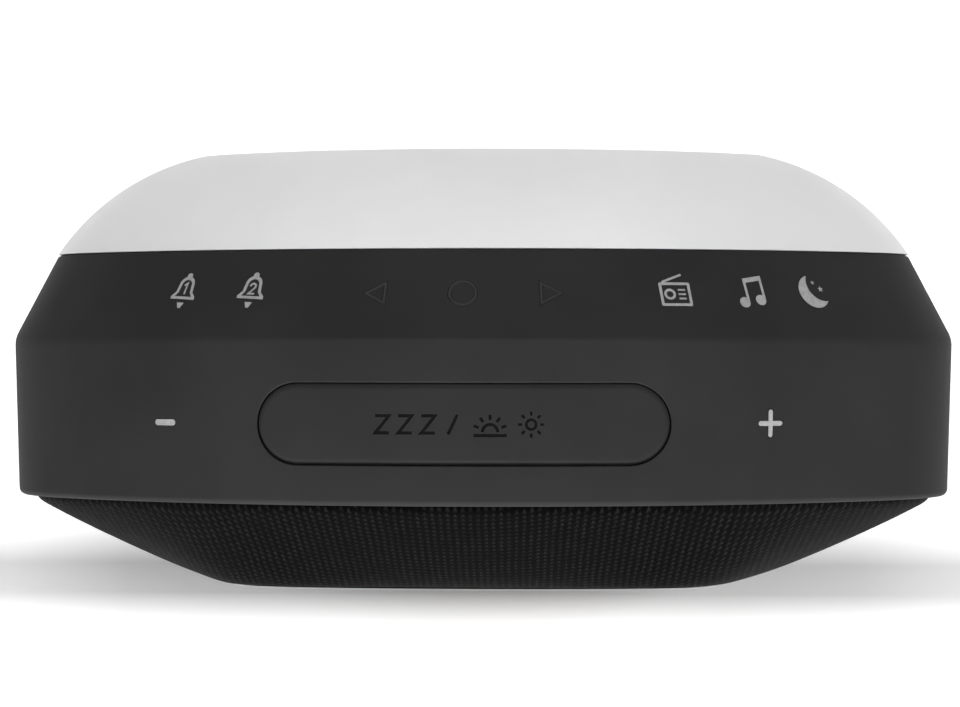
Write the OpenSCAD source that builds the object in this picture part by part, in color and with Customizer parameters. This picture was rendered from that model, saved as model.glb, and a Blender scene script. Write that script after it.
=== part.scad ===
/* [Body] */
// Width across the widest part of the case
body_w = 184; // [176:1:196]
// Height from the table to the crown
body_h = 103; // [96:1:110]
// Radius of the crown arc
top_r = 108.7; // [104:0.1:120]
// Radius of the upper corners
corner_r = 40; // [40:0.5:46]
// Lean of the lower side walls from upright
leg_angle = 28; // [20:1:32]
// Wall of the moulded case
wall = 2.5; // [2:0.1:3]

/* [Depths] */
// Depth of the cloth dome in front of the case band
dome_depth = 16.5; // [14:0.5:20]
// Depth of the band from its front edge to the crease
front_band = 31; // [29:0.5:36]
// Depth of the sloping band from the crease to the light
rear_band = 16.5; // [15.5:0.5:20]
// Depth of the light from the band to the back
light_depth = 19.6; // [18:0.2:24]

/* [Insets] */
// Inset of the outline at the band's front edge
front_inset = 0.9; // [0.5:0.1:2]
// Inset of the outline where the light starts
seam_inset = 8.7; // [7:0.1:10]
// Inset of the outline at the back plane
back_inset = 37.6; // [34:0.1:38]
// Radius of the light's bulging section
light_r = 46.2; // [40:0.2:80]
// Wall of the light diffuser
light_wall = 2.4; // [2:0.1:3]

/* [Display] */
// Width of the display window
window_w = 92; // [80:1:96]
// Height of the display window
window_h = 54; // [44:1:58]
// Height of the window's centre above the middle of the case
window_rise = -1.5; // [-4:0.5:3]
// Thickness of the display window's lens
lens_t = 2.6; // [2:0.1:3]
// Thickness of the cloth
cloth_t = 0.8; // [0.5:0.1:1.2]
// Wall of the grille frame
grille_t = 1.8; // [1.4:0.1:2.4]
// How far the dome bulges beyond a straight slope
dome_bulge = 1.8; // [1:0.1:2.5]

/* [Keys] */
// Travel of the small keys
key_travel = 0.5; // [0.3:0.05:0.6]
// Travel of the snooze bar
bar_travel = 0.7; // [0.4:0.05:0.8]
// Gap between a key and its opening
key_gap = 0.2; // [0.15:0.05:0.3]
// Gap round the snooze bar
bar_gap = 0.45; // [0.3:0.05:0.6]
// Length of the snooze bar
bar_l = 75; // [60:1:80]
// Breadth of the snooze bar
bar_b = 14.5; // [12:0.5:17]
// Radius of the keys' retaining flange
flange_r = 4.3; // [3.5:0.1:4.6]
// Thickness of the keys' retaining flange
flange_t = 1; // [0.8:0.1:1.2]
// Room between a key's flat flange and the curved skin
flange_room = 0.25; // [0.2:0.05:0.4]
// Radius of a key's stem
stem_r = 1.3; // [1:0.1:1.6]
// Length of a key's stem
stem_l = 2.1; // [1.8:0.1:2.4]
// Height of a key switch
switch_h = 1.6; // [1.4:0.1:1.8]
// Thickness of the plate that carries the switches
carrier_t = 2; // [1.6:0.1:2.4]
// Row of the front keys, forward of the crease
front_row = 15.6; // [14:0.1:17]
// Row of the symbol keys, up the slope from the crease
rear_row = 9.8; // [9.4:0.1:10.2]
// Row of the playback keys, up the slope from the crease
play_row = 9.2; // [8.6:0.1:10]

/* [Sound] */
// Outside radius of a speaker driver
driver_r = 17; // [15:0.5:17.5]
// Height of the drivers' axes above the widest part of the case
driver_rise = 5.3; // [3:0.1:7]
// Distance from a driver's rim to the case's side
driver_margin = 14; // [13.5:0.5:16]
// Thickness of the speaker baffle
baffle_t = 2.5; // [2:0.1:3]

/* [Base] */
// Gap between the table and the base cover
foot_gap = 0.8; // [0.5:0.1:1.5]
// Thickness of the base cover
base_t = 2.6; // [2.4:0.1:3.4]
// Length of the rubber foot
foot_l = 104; // [80:1:110]
// Breadth of the rubber foot
foot_b = 44; // [30:1:46]

/* [Electronics] */
// Thickness of the circuit boards
board_t = 1.6; // [1:0.1:2]
// Width of the main board
main_w = 60; // [58:1:62]
// Height of the main board's underside above the base cover
main_lift = 4.6; // [4:0.2:6]
// Thickness of the rear panel
panel_t = 2.2; // [1.8:0.1:3]
// Radius of the audio input's bore
aux_r = 1.8; // [1.75:0.05:1.9]
// Length of the audio input's bore
aux_l = 12; // [10:0.5:13]

/* [Fits] */
// Clearance between fixed pieces
fit = 0.2; // [0.1:0.05:0.3]
// Thickness of the seal between case and light
gasket_t = 0.5; // [0.4:0.1:1]
// Radius of a screw's shank
screw_r = 1.15; // [1:0.05:1.3]
// Radius of a screw's head
head_r = 2.1; // [1.9:0.1:2.3]
// Height of a screw's head
head_h = 1.3; // [1:0.1:1.5]

/* [Hidden] */
$fn = 72;
big = 200;

// Stations along the depth, from the display to the back
y_front = -(dome_depth + front_band + rear_band + light_depth) / 2;
y_band = y_front + dome_depth;
y_crease = y_band + front_band;
y_seam = y_crease + rear_band;
y_back = y_seam + light_depth;
y_light = y_seam + gasket_t;

// The arch: a crown arc, two corner arcs and two leaning legs, all tangent
half_w = body_w / 2;
window_z = body_h / 2 + window_rise;
top_z = body_h - top_r;
corner_x = half_w - corner_r;
corner_z = top_z + sqrt(pow(top_r - corner_r, 2) - pow(corner_x, 2));
crown_angle = atan2(corner_x, corner_z - top_z);
base_z = foot_gap + base_t;
slope = atan2(seam_inset, rear_band);
front_slope = atan2(front_inset, front_band);

// Where a leg stands at height z, for an outline moved inwards by d
function leg_x(d, z) = corner_x + (corner_r - d) / cos(leg_angle) - (corner_z - z) * tan(leg_angle);
// Where the moved outline stands at height z, whether leg, corner or crown is there
function side_x(d, z) = z <= leg_top(d)
    ? leg_x(d, z)
    : d < corner_r && z < corner_z + (corner_r - d) * cos(crown_angle)
        ? corner_x + sqrt(pow(corner_r - d, 2) - pow(z - corner_z, 2))
        : min(leg_x(d, z), sqrt(pow(top_r - d, 2) - pow(z - top_z, 2)));
function crown_at(d, a) = [(top_r - d) * sin(a), top_z + (top_r - d) * cos(a)];
function corner_at(d, a) = [corner_x + (corner_r - d) * cos(a), corner_z + (corner_r - d) * sin(a)];

// The arch's outline as points, anticlockwise from the foot of the right leg
leg_n = 5;
corner_n = 10;
crown_n = 24;
floor_n = 14;
function leg_top(d) = corner_z - (corner_r - d) * sin(leg_angle);
function right_side(d, zb) = concat(
    [for (k = [0:leg_n - 1]) let (z = zb + (leg_top(d) - zb) * k / leg_n) [leg_x(d, z), z]],
    [for (k = [0:corner_n - 1]) corner_at(d, -leg_angle + (90 - crown_angle + leg_angle) * k / corner_n)]);
function arch_pts(d, zb) = let (r = right_side(d, zb), n = len(r)) concat(
    r,
    [for (k = [0:crown_n]) crown_at(d, crown_angle * (1 - 2 * k / crown_n))],
    [for (k = [1:n]) [-r[n - k][0], r[n - k][1]]],
    [for (k = [1:floor_n - 1]) [leg_x(d, zb) * (2 * k / floor_n - 1), zb]]);

// A ring about an axis along y, and a prism along y
module ring(cx, cz, pts, fn = 144)
    translate([cx, 0, cz]) rotate([-90, 0, 0]) rotate_extrude($fn = fn) polygon(pts);
module prism(pts) translate([0, big, 0]) rotate([90, 0, 0]) linear_extrude(2 * big) polygon(pts);
module plate(pts, y0, y1) translate([0, y1, 0]) rotate([90, 0, 0]) linear_extrude(y1 - y0) polygon(pts);
module along_y(r, y0, y1) translate([0, y0, 0]) rotate([-90, 0, 0]) cylinder(h = y1 - y0, r = r);
module both_sides() for (s = [0, 1]) mirror([s, 0, 0]) children();
function at_radius(r, pts) = [for (p = pts) [r - p[0], p[1]]];

// Sweeps a section, given as [inset, y] points, round the arch down to height zb
module arch(pts, zb = base_z) {
    far = [2 * big * sin(crown_angle), top_z + 2 * big * cos(crown_angle)];
    foot = [corner_x + big * cos(leg_angle), corner_z - big * sin(leg_angle)];
    intersection() {
        ring(0, top_z, at_radius(top_r, pts));
        prism([[0, top_z], far, [-far[0], far[1]]]);
    }
    both_sides() {
        intersection() {
            ring(corner_x, corner_z, at_radius(corner_r, pts));
            prism([[0, top_z], far, [far[0], top_z - big]]);
            prism([[corner_x, corner_z], foot, [2 * big, 2 * big], [0, 2 * big]]);
        }
        intersection() {
            translate([corner_x, 0, corner_z]) rotate([0, leg_angle, 0])
                translate([0, 0, -big / 2]) linear_extrude(big) polygon(at_radius(corner_r, pts));
            prism([[corner_x, corner_z], foot, [-big, -big]]);
            prism([[-big, zb], [big, zb], [big, big], [-big, big]]);
        }
    }
}

// Shells between two lists of outlines, each a list of [x, y, z]; the lists join end to end
module loft(rings) {
    n = len(rings[0]);
    m = len(rings);
    // The second half runs back over the first, so its quads take the other diagonal
    faces = [for (j = [0:m - 1], i = [0:n - 1],
        t = j < m / 2 ? [[0, 1, 2], [0, 2, 3]] : [[0, 1, 3], [1, 2, 3]])
        let (k = (i + 1) % n, l = (j + 1) % m, q = [j * n + i, l * n + i, l * n + k, j * n + k])
        [q[t[0]], q[t[1]], q[t[2]]]];
    polyhedron([for (r = rings, p = r) p], faces, convexity = 6);
}

// A place on the case skin: a is the angle round the crown, s the distance behind the crease
function skin(s, depth) = s < 0
    ? [front_inset * -s / front_band + depth, y_crease + s]
    : [s * sin(slope) + depth * cos(slope), y_crease + s * cos(slope) - depth * sin(slope)];
function bend(depth) = [depth, y_crease - depth * tan(slope / 2)];
module on_skin(a, s) {
    p = skin(s, 0);
    translate([0, 0, top_z]) rotate([0, a, 0]) translate([0, p[1], top_r - p[0]])
        rotate([s < 0 ? front_slope : -slope, 0, 0]) children();
}
module crown_solid() ring(0, top_z, [[0, y_band], [top_r - front_inset, y_band], [top_r, y_crease],
    [top_r - seam_inset, y_seam], [0, y_seam]], 256);
// A layer that follows the skin between two depths, over the keys only
module skin_layer(d0, d1, s0, s1, a) intersection() {
    ring(0, top_z, at_radius(top_r, [skin(s0, d0), bend(d0), skin(s1, d0), skin(s1, d1), bend(d1),
        skin(s0, d1)]));
    prism([[0, top_z], [big * tan(a), top_z + big], [-big * tan(a), top_z + big]]);
}

// Depths below the skin: key flange, stem, switch, flexible circuit, carrier
switch_gap = 0.1;
circuit_t = 0.3;
// Flat ends, flat heads and the circuit stay a hair off the curved carrier
hair = 0.05;
flange_d = wall + flange_room;
stem_d = flange_d + flange_t + stem_l;
switch_d = stem_d + key_travel + switch_gap;
circuit_d = switch_d + switch_h;
carrier_d = circuit_d + circuit_t + hair;
bar_flange = bar_gap + 0.55;
carrier_angle = crown_angle - 5.2;
layer_s0 = -(front_band - 8);
layer_s1 = rear_row + flange_r + 0.1;

// Keys as [angle round the crown, distance behind the crease]. The symbol keys stand about midway between
// the playback keys and the end of the crown, the volume keys beside the snooze bar.
play_step = 8.9;
mid_a = (play_step + crown_angle) / 2;
alarm_shift = 2.75;
alarm_pitch = 8.2;
alarm_2_a = alarm_shift + alarm_pitch / 2 - mid_a;
alarm_1_a = alarm_2_a - alarm_pitch;
source_shift = 1;
radio_pitch = 8.4;
sleep_pitch = 7.9;
source_a = mid_a + source_shift;
radio_a = source_a - radio_pitch;
sleep_a = source_a + sleep_pitch;
volume_gap = 18.4;
volume_a = asin((bar_l / 2 + volume_gap) / (top_r - front_inset * front_row / front_band));
bar_switch_a = 12;
key_spots = [[-volume_a, -front_row], [volume_a, -front_row], [alarm_1_a, rear_row],
    [alarm_2_a, rear_row], [-play_step, play_row], [0, play_row], [play_step, play_row],
    [radio_a, rear_row], [source_a, rear_row], [sleep_a, rear_row],
    [-bar_switch_a, -front_row], [bar_switch_a, -front_row]];

// Posts that carry the switches stand clear of the keys' flanges
post_r = 2.6;
post_a = asin((bar_l / 2 + (volume_gap - flange_r + bar_flange) / 2) / top_r);
post_spots = [[-post_a, -front_row], [post_a, -front_row],
    [(alarm_2_a - play_step) / 2, rear_row], [(radio_a + play_step) / 2, rear_row]];

// Front: rim, shelf for the baffle, grille and cloth
rim_w = 3.2;
rim_drop = 1.1;
edge_r = 0.5;
seat_gap = 0.3;
rim_inset = front_inset + rim_w;
shelf_y = y_band + 5;
shelf_t = 2;
cloth_inset = rim_inset + fit;
cloth_z = base_z + fit;
baffle_inset = cloth_inset + cloth_t + grille_t + seat_gap;
baffle_z = cloth_z + cloth_t + grille_t + seat_gap;
baffle_y = shelf_y - baffle_t;
baffle_screw_inset = baffle_inset + 2 * head_r;
shelf_inset = baffle_screw_inset + screw_r + 1.5;
baffle_spots = concat([for (t = [-0.81, -0.33, 0.33, 0.81]) crown_at(baffle_screw_inset, t * crown_angle)],
    [for (s = [-1, 1]) [s * side_x(baffle_screw_inset, base_z + 10.6), base_z + 10.6]]);

// Rear: shelf, light board, reflector and panel
ledge_t = 1.8;
light_floor_t = 1.5;
light_board_y = y_seam - 3;
ledge_y = light_board_y - ledge_t;
reflector_y = light_board_y + board_t;
ledge_inset = seam_inset + 8.5;
light_screw_inset = ledge_inset - head_r - seat_gap;
light_edge = seam_inset + 3.8;
light_ring_w = 20;
light_spots = concat([for (t = [-0.81, -0.3, 0.3, 0.81]) crown_at(light_screw_inset, t * crown_angle)],
    [for (s = [-1, 1]) [s * side_x(light_screw_inset, base_z + 16.6), base_z + 16.6]]);
chip_w = 3;
chip_t = 0.9;
chip_inset = light_edge + light_ring_w / 2 + chip_w / 2;
chip_spots = concat([for (k = [-3.5:1:3.5]) crown_at(chip_inset, k * crown_angle / 4.1)],
    [for (s = [-1, 1], t = [0, 0.68]) let (p = corner_at(chip_inset, t * (90 - crown_angle)))
        [s * p[0], p[1]]],
    [for (s = [-1, 1], k = [1, 2]) let (z = base_z + (corner_z - base_z) * k / 3)
        [s * side_x(chip_inset, z), z]]);
panel_y = y_back - panel_t;
lip_t = 2;
lip_inset = min(corner_r - 0.2, back_inset + 2);
panel_seat = back_inset + seat_gap;
reflector_inset = corner_r - 2.6;
boss_r = 3;
rear_screw_inset = lip_inset + boss_r + seat_gap;
rear_spots = [for (s = [-1, 1], p = [[side_x(rear_screw_inset, 16), 16], [side_x(rear_screw_inset, 36), 36],
    crown_at(rear_screw_inset, 0.43 * crown_angle)]) [s * p[0], p[1]]];
// The reflector is open round the main board and its sockets
bay_x = main_w / 2 + 2.5;
bay_z = 30;
bay = [[-bay_x, -1], [bay_x, -1], [bay_x, bay_z], [bay_x - 12, bay_z + 18], [12 - bay_x, bay_z + 18],
    [-bay_x, bay_z]];

// The light's section is an arc of radius light_r from the seam to the back plane
light_dd = back_inset - seam_inset;
light_dy = y_back - y_light;
light_chord = sqrt(pow(light_dd, 2) + pow(light_dy, 2));
light_h = sqrt(pow(light_r, 2) - pow(light_chord / 2, 2));
light_cx = (seam_inset + back_inset) / 2 + light_h * light_dy / light_chord;
light_cy = (y_light + y_back) / 2 - light_h * light_dd / light_chord;
light_n = 8;
function light_arc(r, y0, y1) = let (a0 = asin((y0 - light_cy) / r), a1 = asin((y1 - light_cy) / r))
    [for (k = [0:light_n]) let (a = a0 + (a1 - a0) * k / light_n)
        [light_cx - r * cos(a), light_cy + r * sin(a)]];
light_skin = light_arc(light_r, y_light, y_back);

// Main board and the sockets that stand on it
main_z = base_z + main_lift;
deck_z = main_z + board_t;
main_y0 = -10;
main_y1 = panel_y - 1;
main_spots = [for (s = [-1, 1], y = [main_y0 + 2.6, 18]) [s * (main_w / 2 - 4), y]];
socket_y = y_back - 0.6;
jack = [9, 12, 10.5];
jack_x = 8 - main_w / 2;
jack_z = deck_z + 5.5;
usb = [13.1, 14, 5.8];
usb_x = [-5.5, 10.5];
sheet_t = 0.5;
aux_w = 7;
aux_nose_r = 3;
aux_floor = 2.5;
aux_x = main_w / 2 - 6.5;
aux_z = deck_z + aux_w / 2;
cell_r = 10;
cell_t = 3.2;
cell_floor = 0.8;
cell_at = [-12, 6];
base_screw_inset = 10.3;
base_spots = [for (s = [-1, 1], y = [-8, 10]) [s * (leg_x(0, base_z) - base_screw_inset), y]];

// Display: its panel stands in the lens's hollow back
lens_rim = 2.5;
panel_w = window_w - 18;
panel_h = window_h - 20;
panel_depth = 3;
display_y = y_front + lens_t + 1.2;
display_board_y = display_y + panel_depth;
display_board_w = window_w - 8;
display_board_h = window_h - 10;
display_edge = head_r + seat_gap;
display_spots = [for (s = [-1, 1], t = [-1, 1])
    [s * (display_board_w / 2 - display_edge), window_z + t * (display_board_h / 2 - display_edge)]];
ribbon_z = window_z - window_h / 2 - 6;

// Screws point their tips along +z of their own frame; the head's underside is at 0
module screw(l) {
    cylinder(h = l, r = screw_r, $fn = 24);
    translate([0, 0, -head_h]) cylinder(h = head_h, r = head_r, $fn = 32);
}
bore_r = screw_r + 0.03;
short_screw = 5;
long_screw = 8;
module screw_bore(l) cylinder(h = l, r = bore_r, $fn = 24);
module screw_hole(l) cylinder(h = l, r = screw_r + fit, $fn = 24);
module head_hole(l) cylinder(h = l, r = head_r + seat_gap, $fn = 32);
module screws_along_y(spots, y, l) for (p = spots) translate([p[0], y, p[1]]) rotate([-90, 0, 0]) screw(l);
module screws_back_along_y(spots, y, l)
    for (p = spots) translate([p[0], y, p[1]]) rotate([90, 0, 0]) screw(l);
module bores_along_y(spots, r, y0, y1) for (p = spots) translate([p[0], 0, p[1]]) along_y(r, y0, y1);

// Key symbols, drawn flat, x across and y up the slope
bell_lean = 3.5;
module bell() rotate(-bell_lean) {
    translate([0, 1.4]) circle(1.8);
    polygon([[-1.8, 1.4], [1.8, 1.4], [2, -0.1], [2.85, -1.05], [2.85, -1.7], [-2.85, -1.7], [-2.85, -1.05],
        [-2, -0.1]]);
    translate([0, 3.25]) circle(0.65);
    polygon([[-0.9, -1.6], [0.9, -1.6], [0.9, -2.3], [0.35, -3.6], [-0.35, -3.6], [-0.9, -2.3]]);
}
module triangle() polygon([[-2.25, 0], [2.25, -2.6], [2.25, 2.6]]);
module round_key() circle(2.7);
module radio() {
    translate([-3.1, -3.2]) square([6.2, 5]);
    polygon([[-3.1, 1.7], [-1, 1.7], [1.9, 3], [1.6, 3.7]]);
}
module note() {
    translate([-1.6, -2.3]) circle(1.15);
    translate([1.9, -1.8]) circle(1.15);
    polygon([[-1.1, -2.3], [-0.45, -2.3], [-0.45, 1.7], [2.4, 2.2], [2.4, -1.8], [3.05, -1.8], [3.05, 3.4],
        [-1.1, 2.7]]);
}
module moon() difference() {
    circle(3.6);
    translate([2.3, 1.5]) circle(3.35);
}
module stadium(l, w) {
    square([l - w, w], center = true);
    for (s = [-1, 1]) translate([s * (l - w) / 2, 0]) circle(w / 2);
}
module minus() stadium(4.8, 1.3);
module plus() {
    stadium(5.4, 1.15);
    rotate(90) stadium(5.4, 1.15);
}

// One small key: its symbol as the cap, cut flush with the skin, a flange and a stem
module small_key(spot) {
    intersection() {
        on_skin(spot[0], spot[1]) translate([0, 0, -flange_d - 0.1]) linear_extrude(flange_d + 2) children();
        crown_solid();
    }
    on_skin(spot[0], spot[1]) {
        translate([0, 0, -flange_d - flange_t]) cylinder(h = flange_t, r = flange_r);
        translate([0, 0, -stem_d]) cylinder(h = stem_l, r = stem_r, $fn = 48);
    }
}
module key_opening(spot) on_skin(spot[0], spot[1])
    translate([0, 0, -flange_d]) linear_extrude(flange_d + 2) offset(delta = key_gap) children();
module bar_prism(grow, z0, z1) translate([0, y_crease - front_row, z0])
    linear_extrude(z1 - z0) stadium(bar_l + 2 * grow, bar_b + 2 * grow);
module bar_layer(grow, d0, d1) intersection() {
    bar_prism(grow, corner_z, body_h + 1);
    ring(0, top_z, at_radius(top_r, [skin(-front_band, d0), skin(-0.01, d0), skin(-0.01, d1),
        skin(-front_band, d1)]));
}

// Moulded case band: rim, skin, front shelf and rear ledge
inner = wall / cos(slope);
function slope_in(y) = seam_inset * (y - y_crease) / rear_band + inner;
case_section = [[front_inset + edge_r, y_band], [front_inset, y_band + edge_r], [0, y_crease],
    [seam_inset, y_seam], [seam_inset + inner, y_seam], [slope_in(light_board_y), light_board_y],
    [ledge_inset, light_board_y], [ledge_inset, ledge_y], [slope_in(ledge_y), ledge_y], bend(wall),
    [wall + front_inset, shelf_y + shelf_t], [shelf_inset, shelf_y + shelf_t],
    [shelf_inset, shelf_y], [rim_inset, shelf_y], [rim_inset, y_band + rim_drop]];
module housing() color("#2f3032") difference() {
    union() {
        arch(case_section);
        for (p = post_spots) on_skin(p[0], p[1])
            translate([0, 0, hair - carrier_d]) cylinder(h = carrier_d - wall / 2, r = post_r, $fn = 32);
        for (p = base_spots) base_post(p);
    }
    key_opening(key_spots[0]) minus();
    key_opening(key_spots[1]) plus();
    for (k = [2, 3]) key_opening(key_spots[k]) bell();
    key_opening(key_spots[4]) triangle();
    key_opening(key_spots[5]) round_key();
    key_opening(key_spots[6]) mirror([1, 0]) triangle();
    key_opening(key_spots[7]) radio();
    key_opening(key_spots[8]) note();
    key_opening(key_spots[9]) moon();
    bar_prism(bar_gap, corner_z + 30, body_h + 1);
    for (p = post_spots) on_skin(p[0], p[1]) translate([0, 0, -carrier_d - 1]) screw_bore(short_screw);
    bores_along_y(baffle_spots, bore_r, shelf_y - 1, shelf_y + shelf_t + 1);
    bores_along_y(light_spots, bore_r, ledge_y - 1, light_board_y + 1);
    for (p = base_spots) translate([p[0], p[1], base_z - 1]) screw_bore(base_post_h);
}
base_post_h = 9;
base_post_r = 3.2;
function edge_at(y) = y < y_crease
    ? front_inset * (y_crease - y) / front_band
    : seam_inset * (y - y_crease) / rear_band;
// A post for a base screw, with a rib that runs into the middle of the wall
module base_post(p) {
    rib_t = 2;
    rib_l = leg_x(edge_at(p[1]) + wall / 2, base_z) - abs(p[0]);
    translate([p[0], p[1], base_z]) cylinder(h = base_post_h, r = base_post_r, $fn = 32);
    translate([p[0] > 0 ? p[0] : p[0] - rib_l, p[1] - rib_t / 2, base_z])
        cube([rib_l, rib_t, base_post_h / 2]);
}

module snooze_bar() color("#303133") {
    bar_layer(0, 0, flange_d + 0.1);
    bar_layer(bar_flange, flange_d, flange_d + flange_t);
    stem_end = stem_d - bar_travel + key_travel;
    for (k = [10, 11]) on_skin(key_spots[k][0], key_spots[k][1]) translate([0, 0, -stem_end])
        cylinder(h = stem_end - flange_d - flange_t / 2, r = stem_r, $fn = 48);
}
module minus_key() color("#8d8d8d") small_key(key_spots[0]) minus();
module plus_key() color("#8d8d8d") small_key(key_spots[1]) plus();
module alarm_1_key() color("#8d8d8d") small_key(key_spots[2]) bell();
module alarm_2_key() color("#8d8d8d") small_key(key_spots[3]) bell();
module previous_key() color("#2c2d2f") small_key(key_spots[4]) triangle();
module play_key() color("#2c2d2f") small_key(key_spots[5]) round_key();
module next_key() color("#2c2d2f") small_key(key_spots[6]) mirror([1, 0]) triangle();
module radio_key() color("#8d8d8d") small_key(key_spots[7]) radio();
module source_key() color("#8d8d8d") small_key(key_spots[8]) note();
module sleep_key() color("#8d8d8d") small_key(key_spots[9]) moon();

// What the keys press: switches on a flexible circuit, glued to a curved carrier
module key_carrier() color("#3a3a3c") difference() {
    skin_layer(carrier_d, carrier_d + carrier_t, layer_s0, layer_s1, carrier_angle);
    for (p = post_spots) on_skin(p[0], p[1]) translate([0, 0, -carrier_d - carrier_t - 1])
        screw_hole(carrier_t + 2);
}
module key_circuit() color("#7a4a1e") difference() {
    skin_layer(circuit_d, circuit_d + circuit_t, layer_s0, layer_s1, carrier_angle - 1);
    for (p = post_spots) on_skin(p[0], p[1]) translate([0, 0, -carrier_d - 1])
        cylinder(h = wall, r = post_r + fit, $fn = 32);
}
switch_w = 4.5;
plunger_h = 0.7;
module key_switches() color("#c9ccd0") for (p = key_spots) on_skin(p[0], p[1]) {
    translate([-switch_w / 2, -switch_w / 2, -circuit_d + 0.1])
        cube([switch_w, switch_w, switch_h - plunger_h]);
    translate([0, 0, -switch_d - plunger_h]) cylinder(h = plunger_h, r = stem_r, $fn = 48);
}
module carrier_screws() color("#b8babd") for (p = post_spots) on_skin(p[0], p[1])
    translate([0, 0, -carrier_d - carrier_t - hair]) screw(short_screw);

// Light
module diffuser() color("#e9eaec") arch(concat(light_skin, [[panel_seat, y_back], [panel_seat, panel_y],
    [lip_inset, panel_y], [lip_inset, panel_y - lip_t]],
    [for (k = [light_n:-1:0]) light_arc(light_r - light_wall, y_light, panel_y - lip_t)[k]]));
module light_gasket() color("#151516") difference() {
    plate(arch_pts(seam_inset + fit, base_z), y_seam, y_light);
    prism(arch_pts(seam_inset + light_wall, base_z - 1));
}
module light_board() color("#f2f2ee") difference() {
    plate(arch_pts(light_edge + fit, base_z + 1), light_board_y, reflector_y);
    prism(arch_pts(light_edge + light_ring_w, base_z - 1));
    bores_along_y(light_spots, screw_r + fit, light_board_y - 1, reflector_y + 1);
}
module light_chips() color("#fff3c4") for (p = chip_spots)
    translate([p[0] - chip_w / 2, reflector_y, p[1] - chip_w / 2]) cube([chip_w, chip_t, chip_w]);
module light_reflector() color("#f7f7f5") difference() {
    floor_y = reflector_y + light_floor_t;
    root_y = reflector_y + light_floor_t / 2;
    rim_y = panel_y - lip_t - fit;
    wall_t = 1.8;
    union() {
        plate(arch_pts(light_edge, base_z + seat_gap), reflector_y, floor_y);
        difference() {
            plate(arch_pts(reflector_inset - wall_t, base_z + seat_gap), root_y, rim_y);
            prism(arch_pts(reflector_inset, base_z - 1));
        }
        for (p = rear_spots) translate([p[0], 0, p[1]]) along_y(boss_r, root_y, panel_y);
    }
    prism(bay);
    bores_along_y(chip_spots, 0.8 * chip_w, reflector_y - 1, floor_y + 1);
    bores_along_y(light_spots, screw_r + fit, reflector_y - 1, floor_y + 1);
    bores_along_y(rear_spots, bore_r, panel_y - long_screw - 1, panel_y + 1);
}
module light_screws() color("#b8babd")
    screws_back_along_y(light_spots, reflector_y + light_floor_t, short_screw);

module rear_panel() color("#28292b") difference() {
    plate(arch_pts(panel_seat + fit, base_z + 0.1), panel_y, y_back);
    bores_along_y(rear_spots, screw_r + fit, panel_y - 1, y_back + 1);
    bores_along_y(rear_spots, head_r + seat_gap, y_back - head_h, y_back + 1);
    socket_hole(jack_x, jack);
    for (x = usb_x) socket_hole(x, usb);
    translate([aux_x, 0, aux_z]) along_y(aux_nose_r + seat_gap, panel_y - 1, y_back + 1);
}
module socket_hole(x, size) translate([x - size[0] / 2 - seat_gap, panel_y - 1, deck_z - seat_gap])
    cube([size[0] + 2 * seat_gap, panel_t + 2, size[2] + 2 * seat_gap]);
module rear_screws() color("#8e9093") screws_back_along_y(rear_spots, y_back - head_h, long_screw);

// Base
foot_t = foot_gap + 1;
post_h = main_lift + 0.5;
rib_pitch = 4;
rib_edge = 4;
foot_rim = [for (p = concat([[front_inset, y_band], [0, y_crease], [seam_inset, y_seam]],
    [for (k = [0:light_n]) light_skin[k]])) [leg_x(p[0], foot_gap + base_t / 2), p[1]]];
module base_cover() color("#232426") difference() {
    union() {
        translate([0, 0, foot_gap]) linear_extrude(base_t)
            polygon(concat(foot_rim, [for (k = [len(foot_rim) - 1:-1:0]) [-foot_rim[k][0], foot_rim[k][1]]]));
        for (p = main_spots) translate([p[0], p[1], main_z - post_h])
            cylinder(h = post_h, r = boss_r, $fn = 32);
    }
    translate([-foot_l / 2 - fit, -foot_b / 2 - fit, 0]) cube([foot_l + 2 * fit, foot_b + 2 * fit, foot_t]);
    for (p = base_spots) translate([p[0], p[1], 0]) {
        screw_hole(base_z + 1);
        head_hole(foot_gap + head_h);
    }
    for (p = main_spots) translate([p[0], p[1], base_z - 1]) screw_bore(main_lift + 2);
}
module foot_pad() color("#1b1b1c") difference() {
    translate([-foot_l / 2, -foot_b / 2, 0]) cube([foot_l, foot_b, foot_t]);
    for (x = [-foot_l / 2 + 1.5 * rib_pitch:rib_pitch:foot_l / 2 - 1.5 * rib_pitch])
        translate([x - 0.6, rib_edge - foot_b / 2, -1]) cube([1.2, foot_b - 2 * rib_edge, 1.5]);
}
module base_screws() color("#8e9093") for (p = base_spots) translate([p[0], p[1], foot_gap + head_h])
    screw(long_screw);

// Front dome: rings blend from the arch's outline to the window's outline
window_n = 5;
function window_at(p, grow) = let (c = [p[0], p[1] - window_z], l = norm(c),
    a = window_w / 2 + grow, b = window_h / 2 + grow,
    r = pow(pow(abs(c[0] / l) / a, window_n) + pow(abs(c[1] / l) / b, window_n), -1 / window_n))
    [c[0] / l * r, window_z + c[1] / l * r];
dome_edge = arch_pts(cloth_inset, cloth_z);
function window_pts(grow) = [for (p = dome_edge) window_at(p, grow)];
dome_n = 7;
dome_root = y_band - seat_gap;
lens_proud = 0.4;
dome_tip = y_front + lens_proud;
function dome_y(w) = dome_root + (dome_tip - dome_root) * w - 4 * dome_bulge * w * (1 - w);
function dome_outline(t) = arch_pts(cloth_inset + t, cloth_z + t);
function dome_ring(w, t) = let (a = dome_outline(t), b = window_pts(0))
    [for (i = [0:len(a) - 1]) let (p = a[i] + (b[i] - a[i]) * w) [p[0], dome_y(w) + t, p[1]]];
function skirt(t) = [for (p = dome_outline(t)) [p[0], shelf_y, p[1]]];
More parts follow.
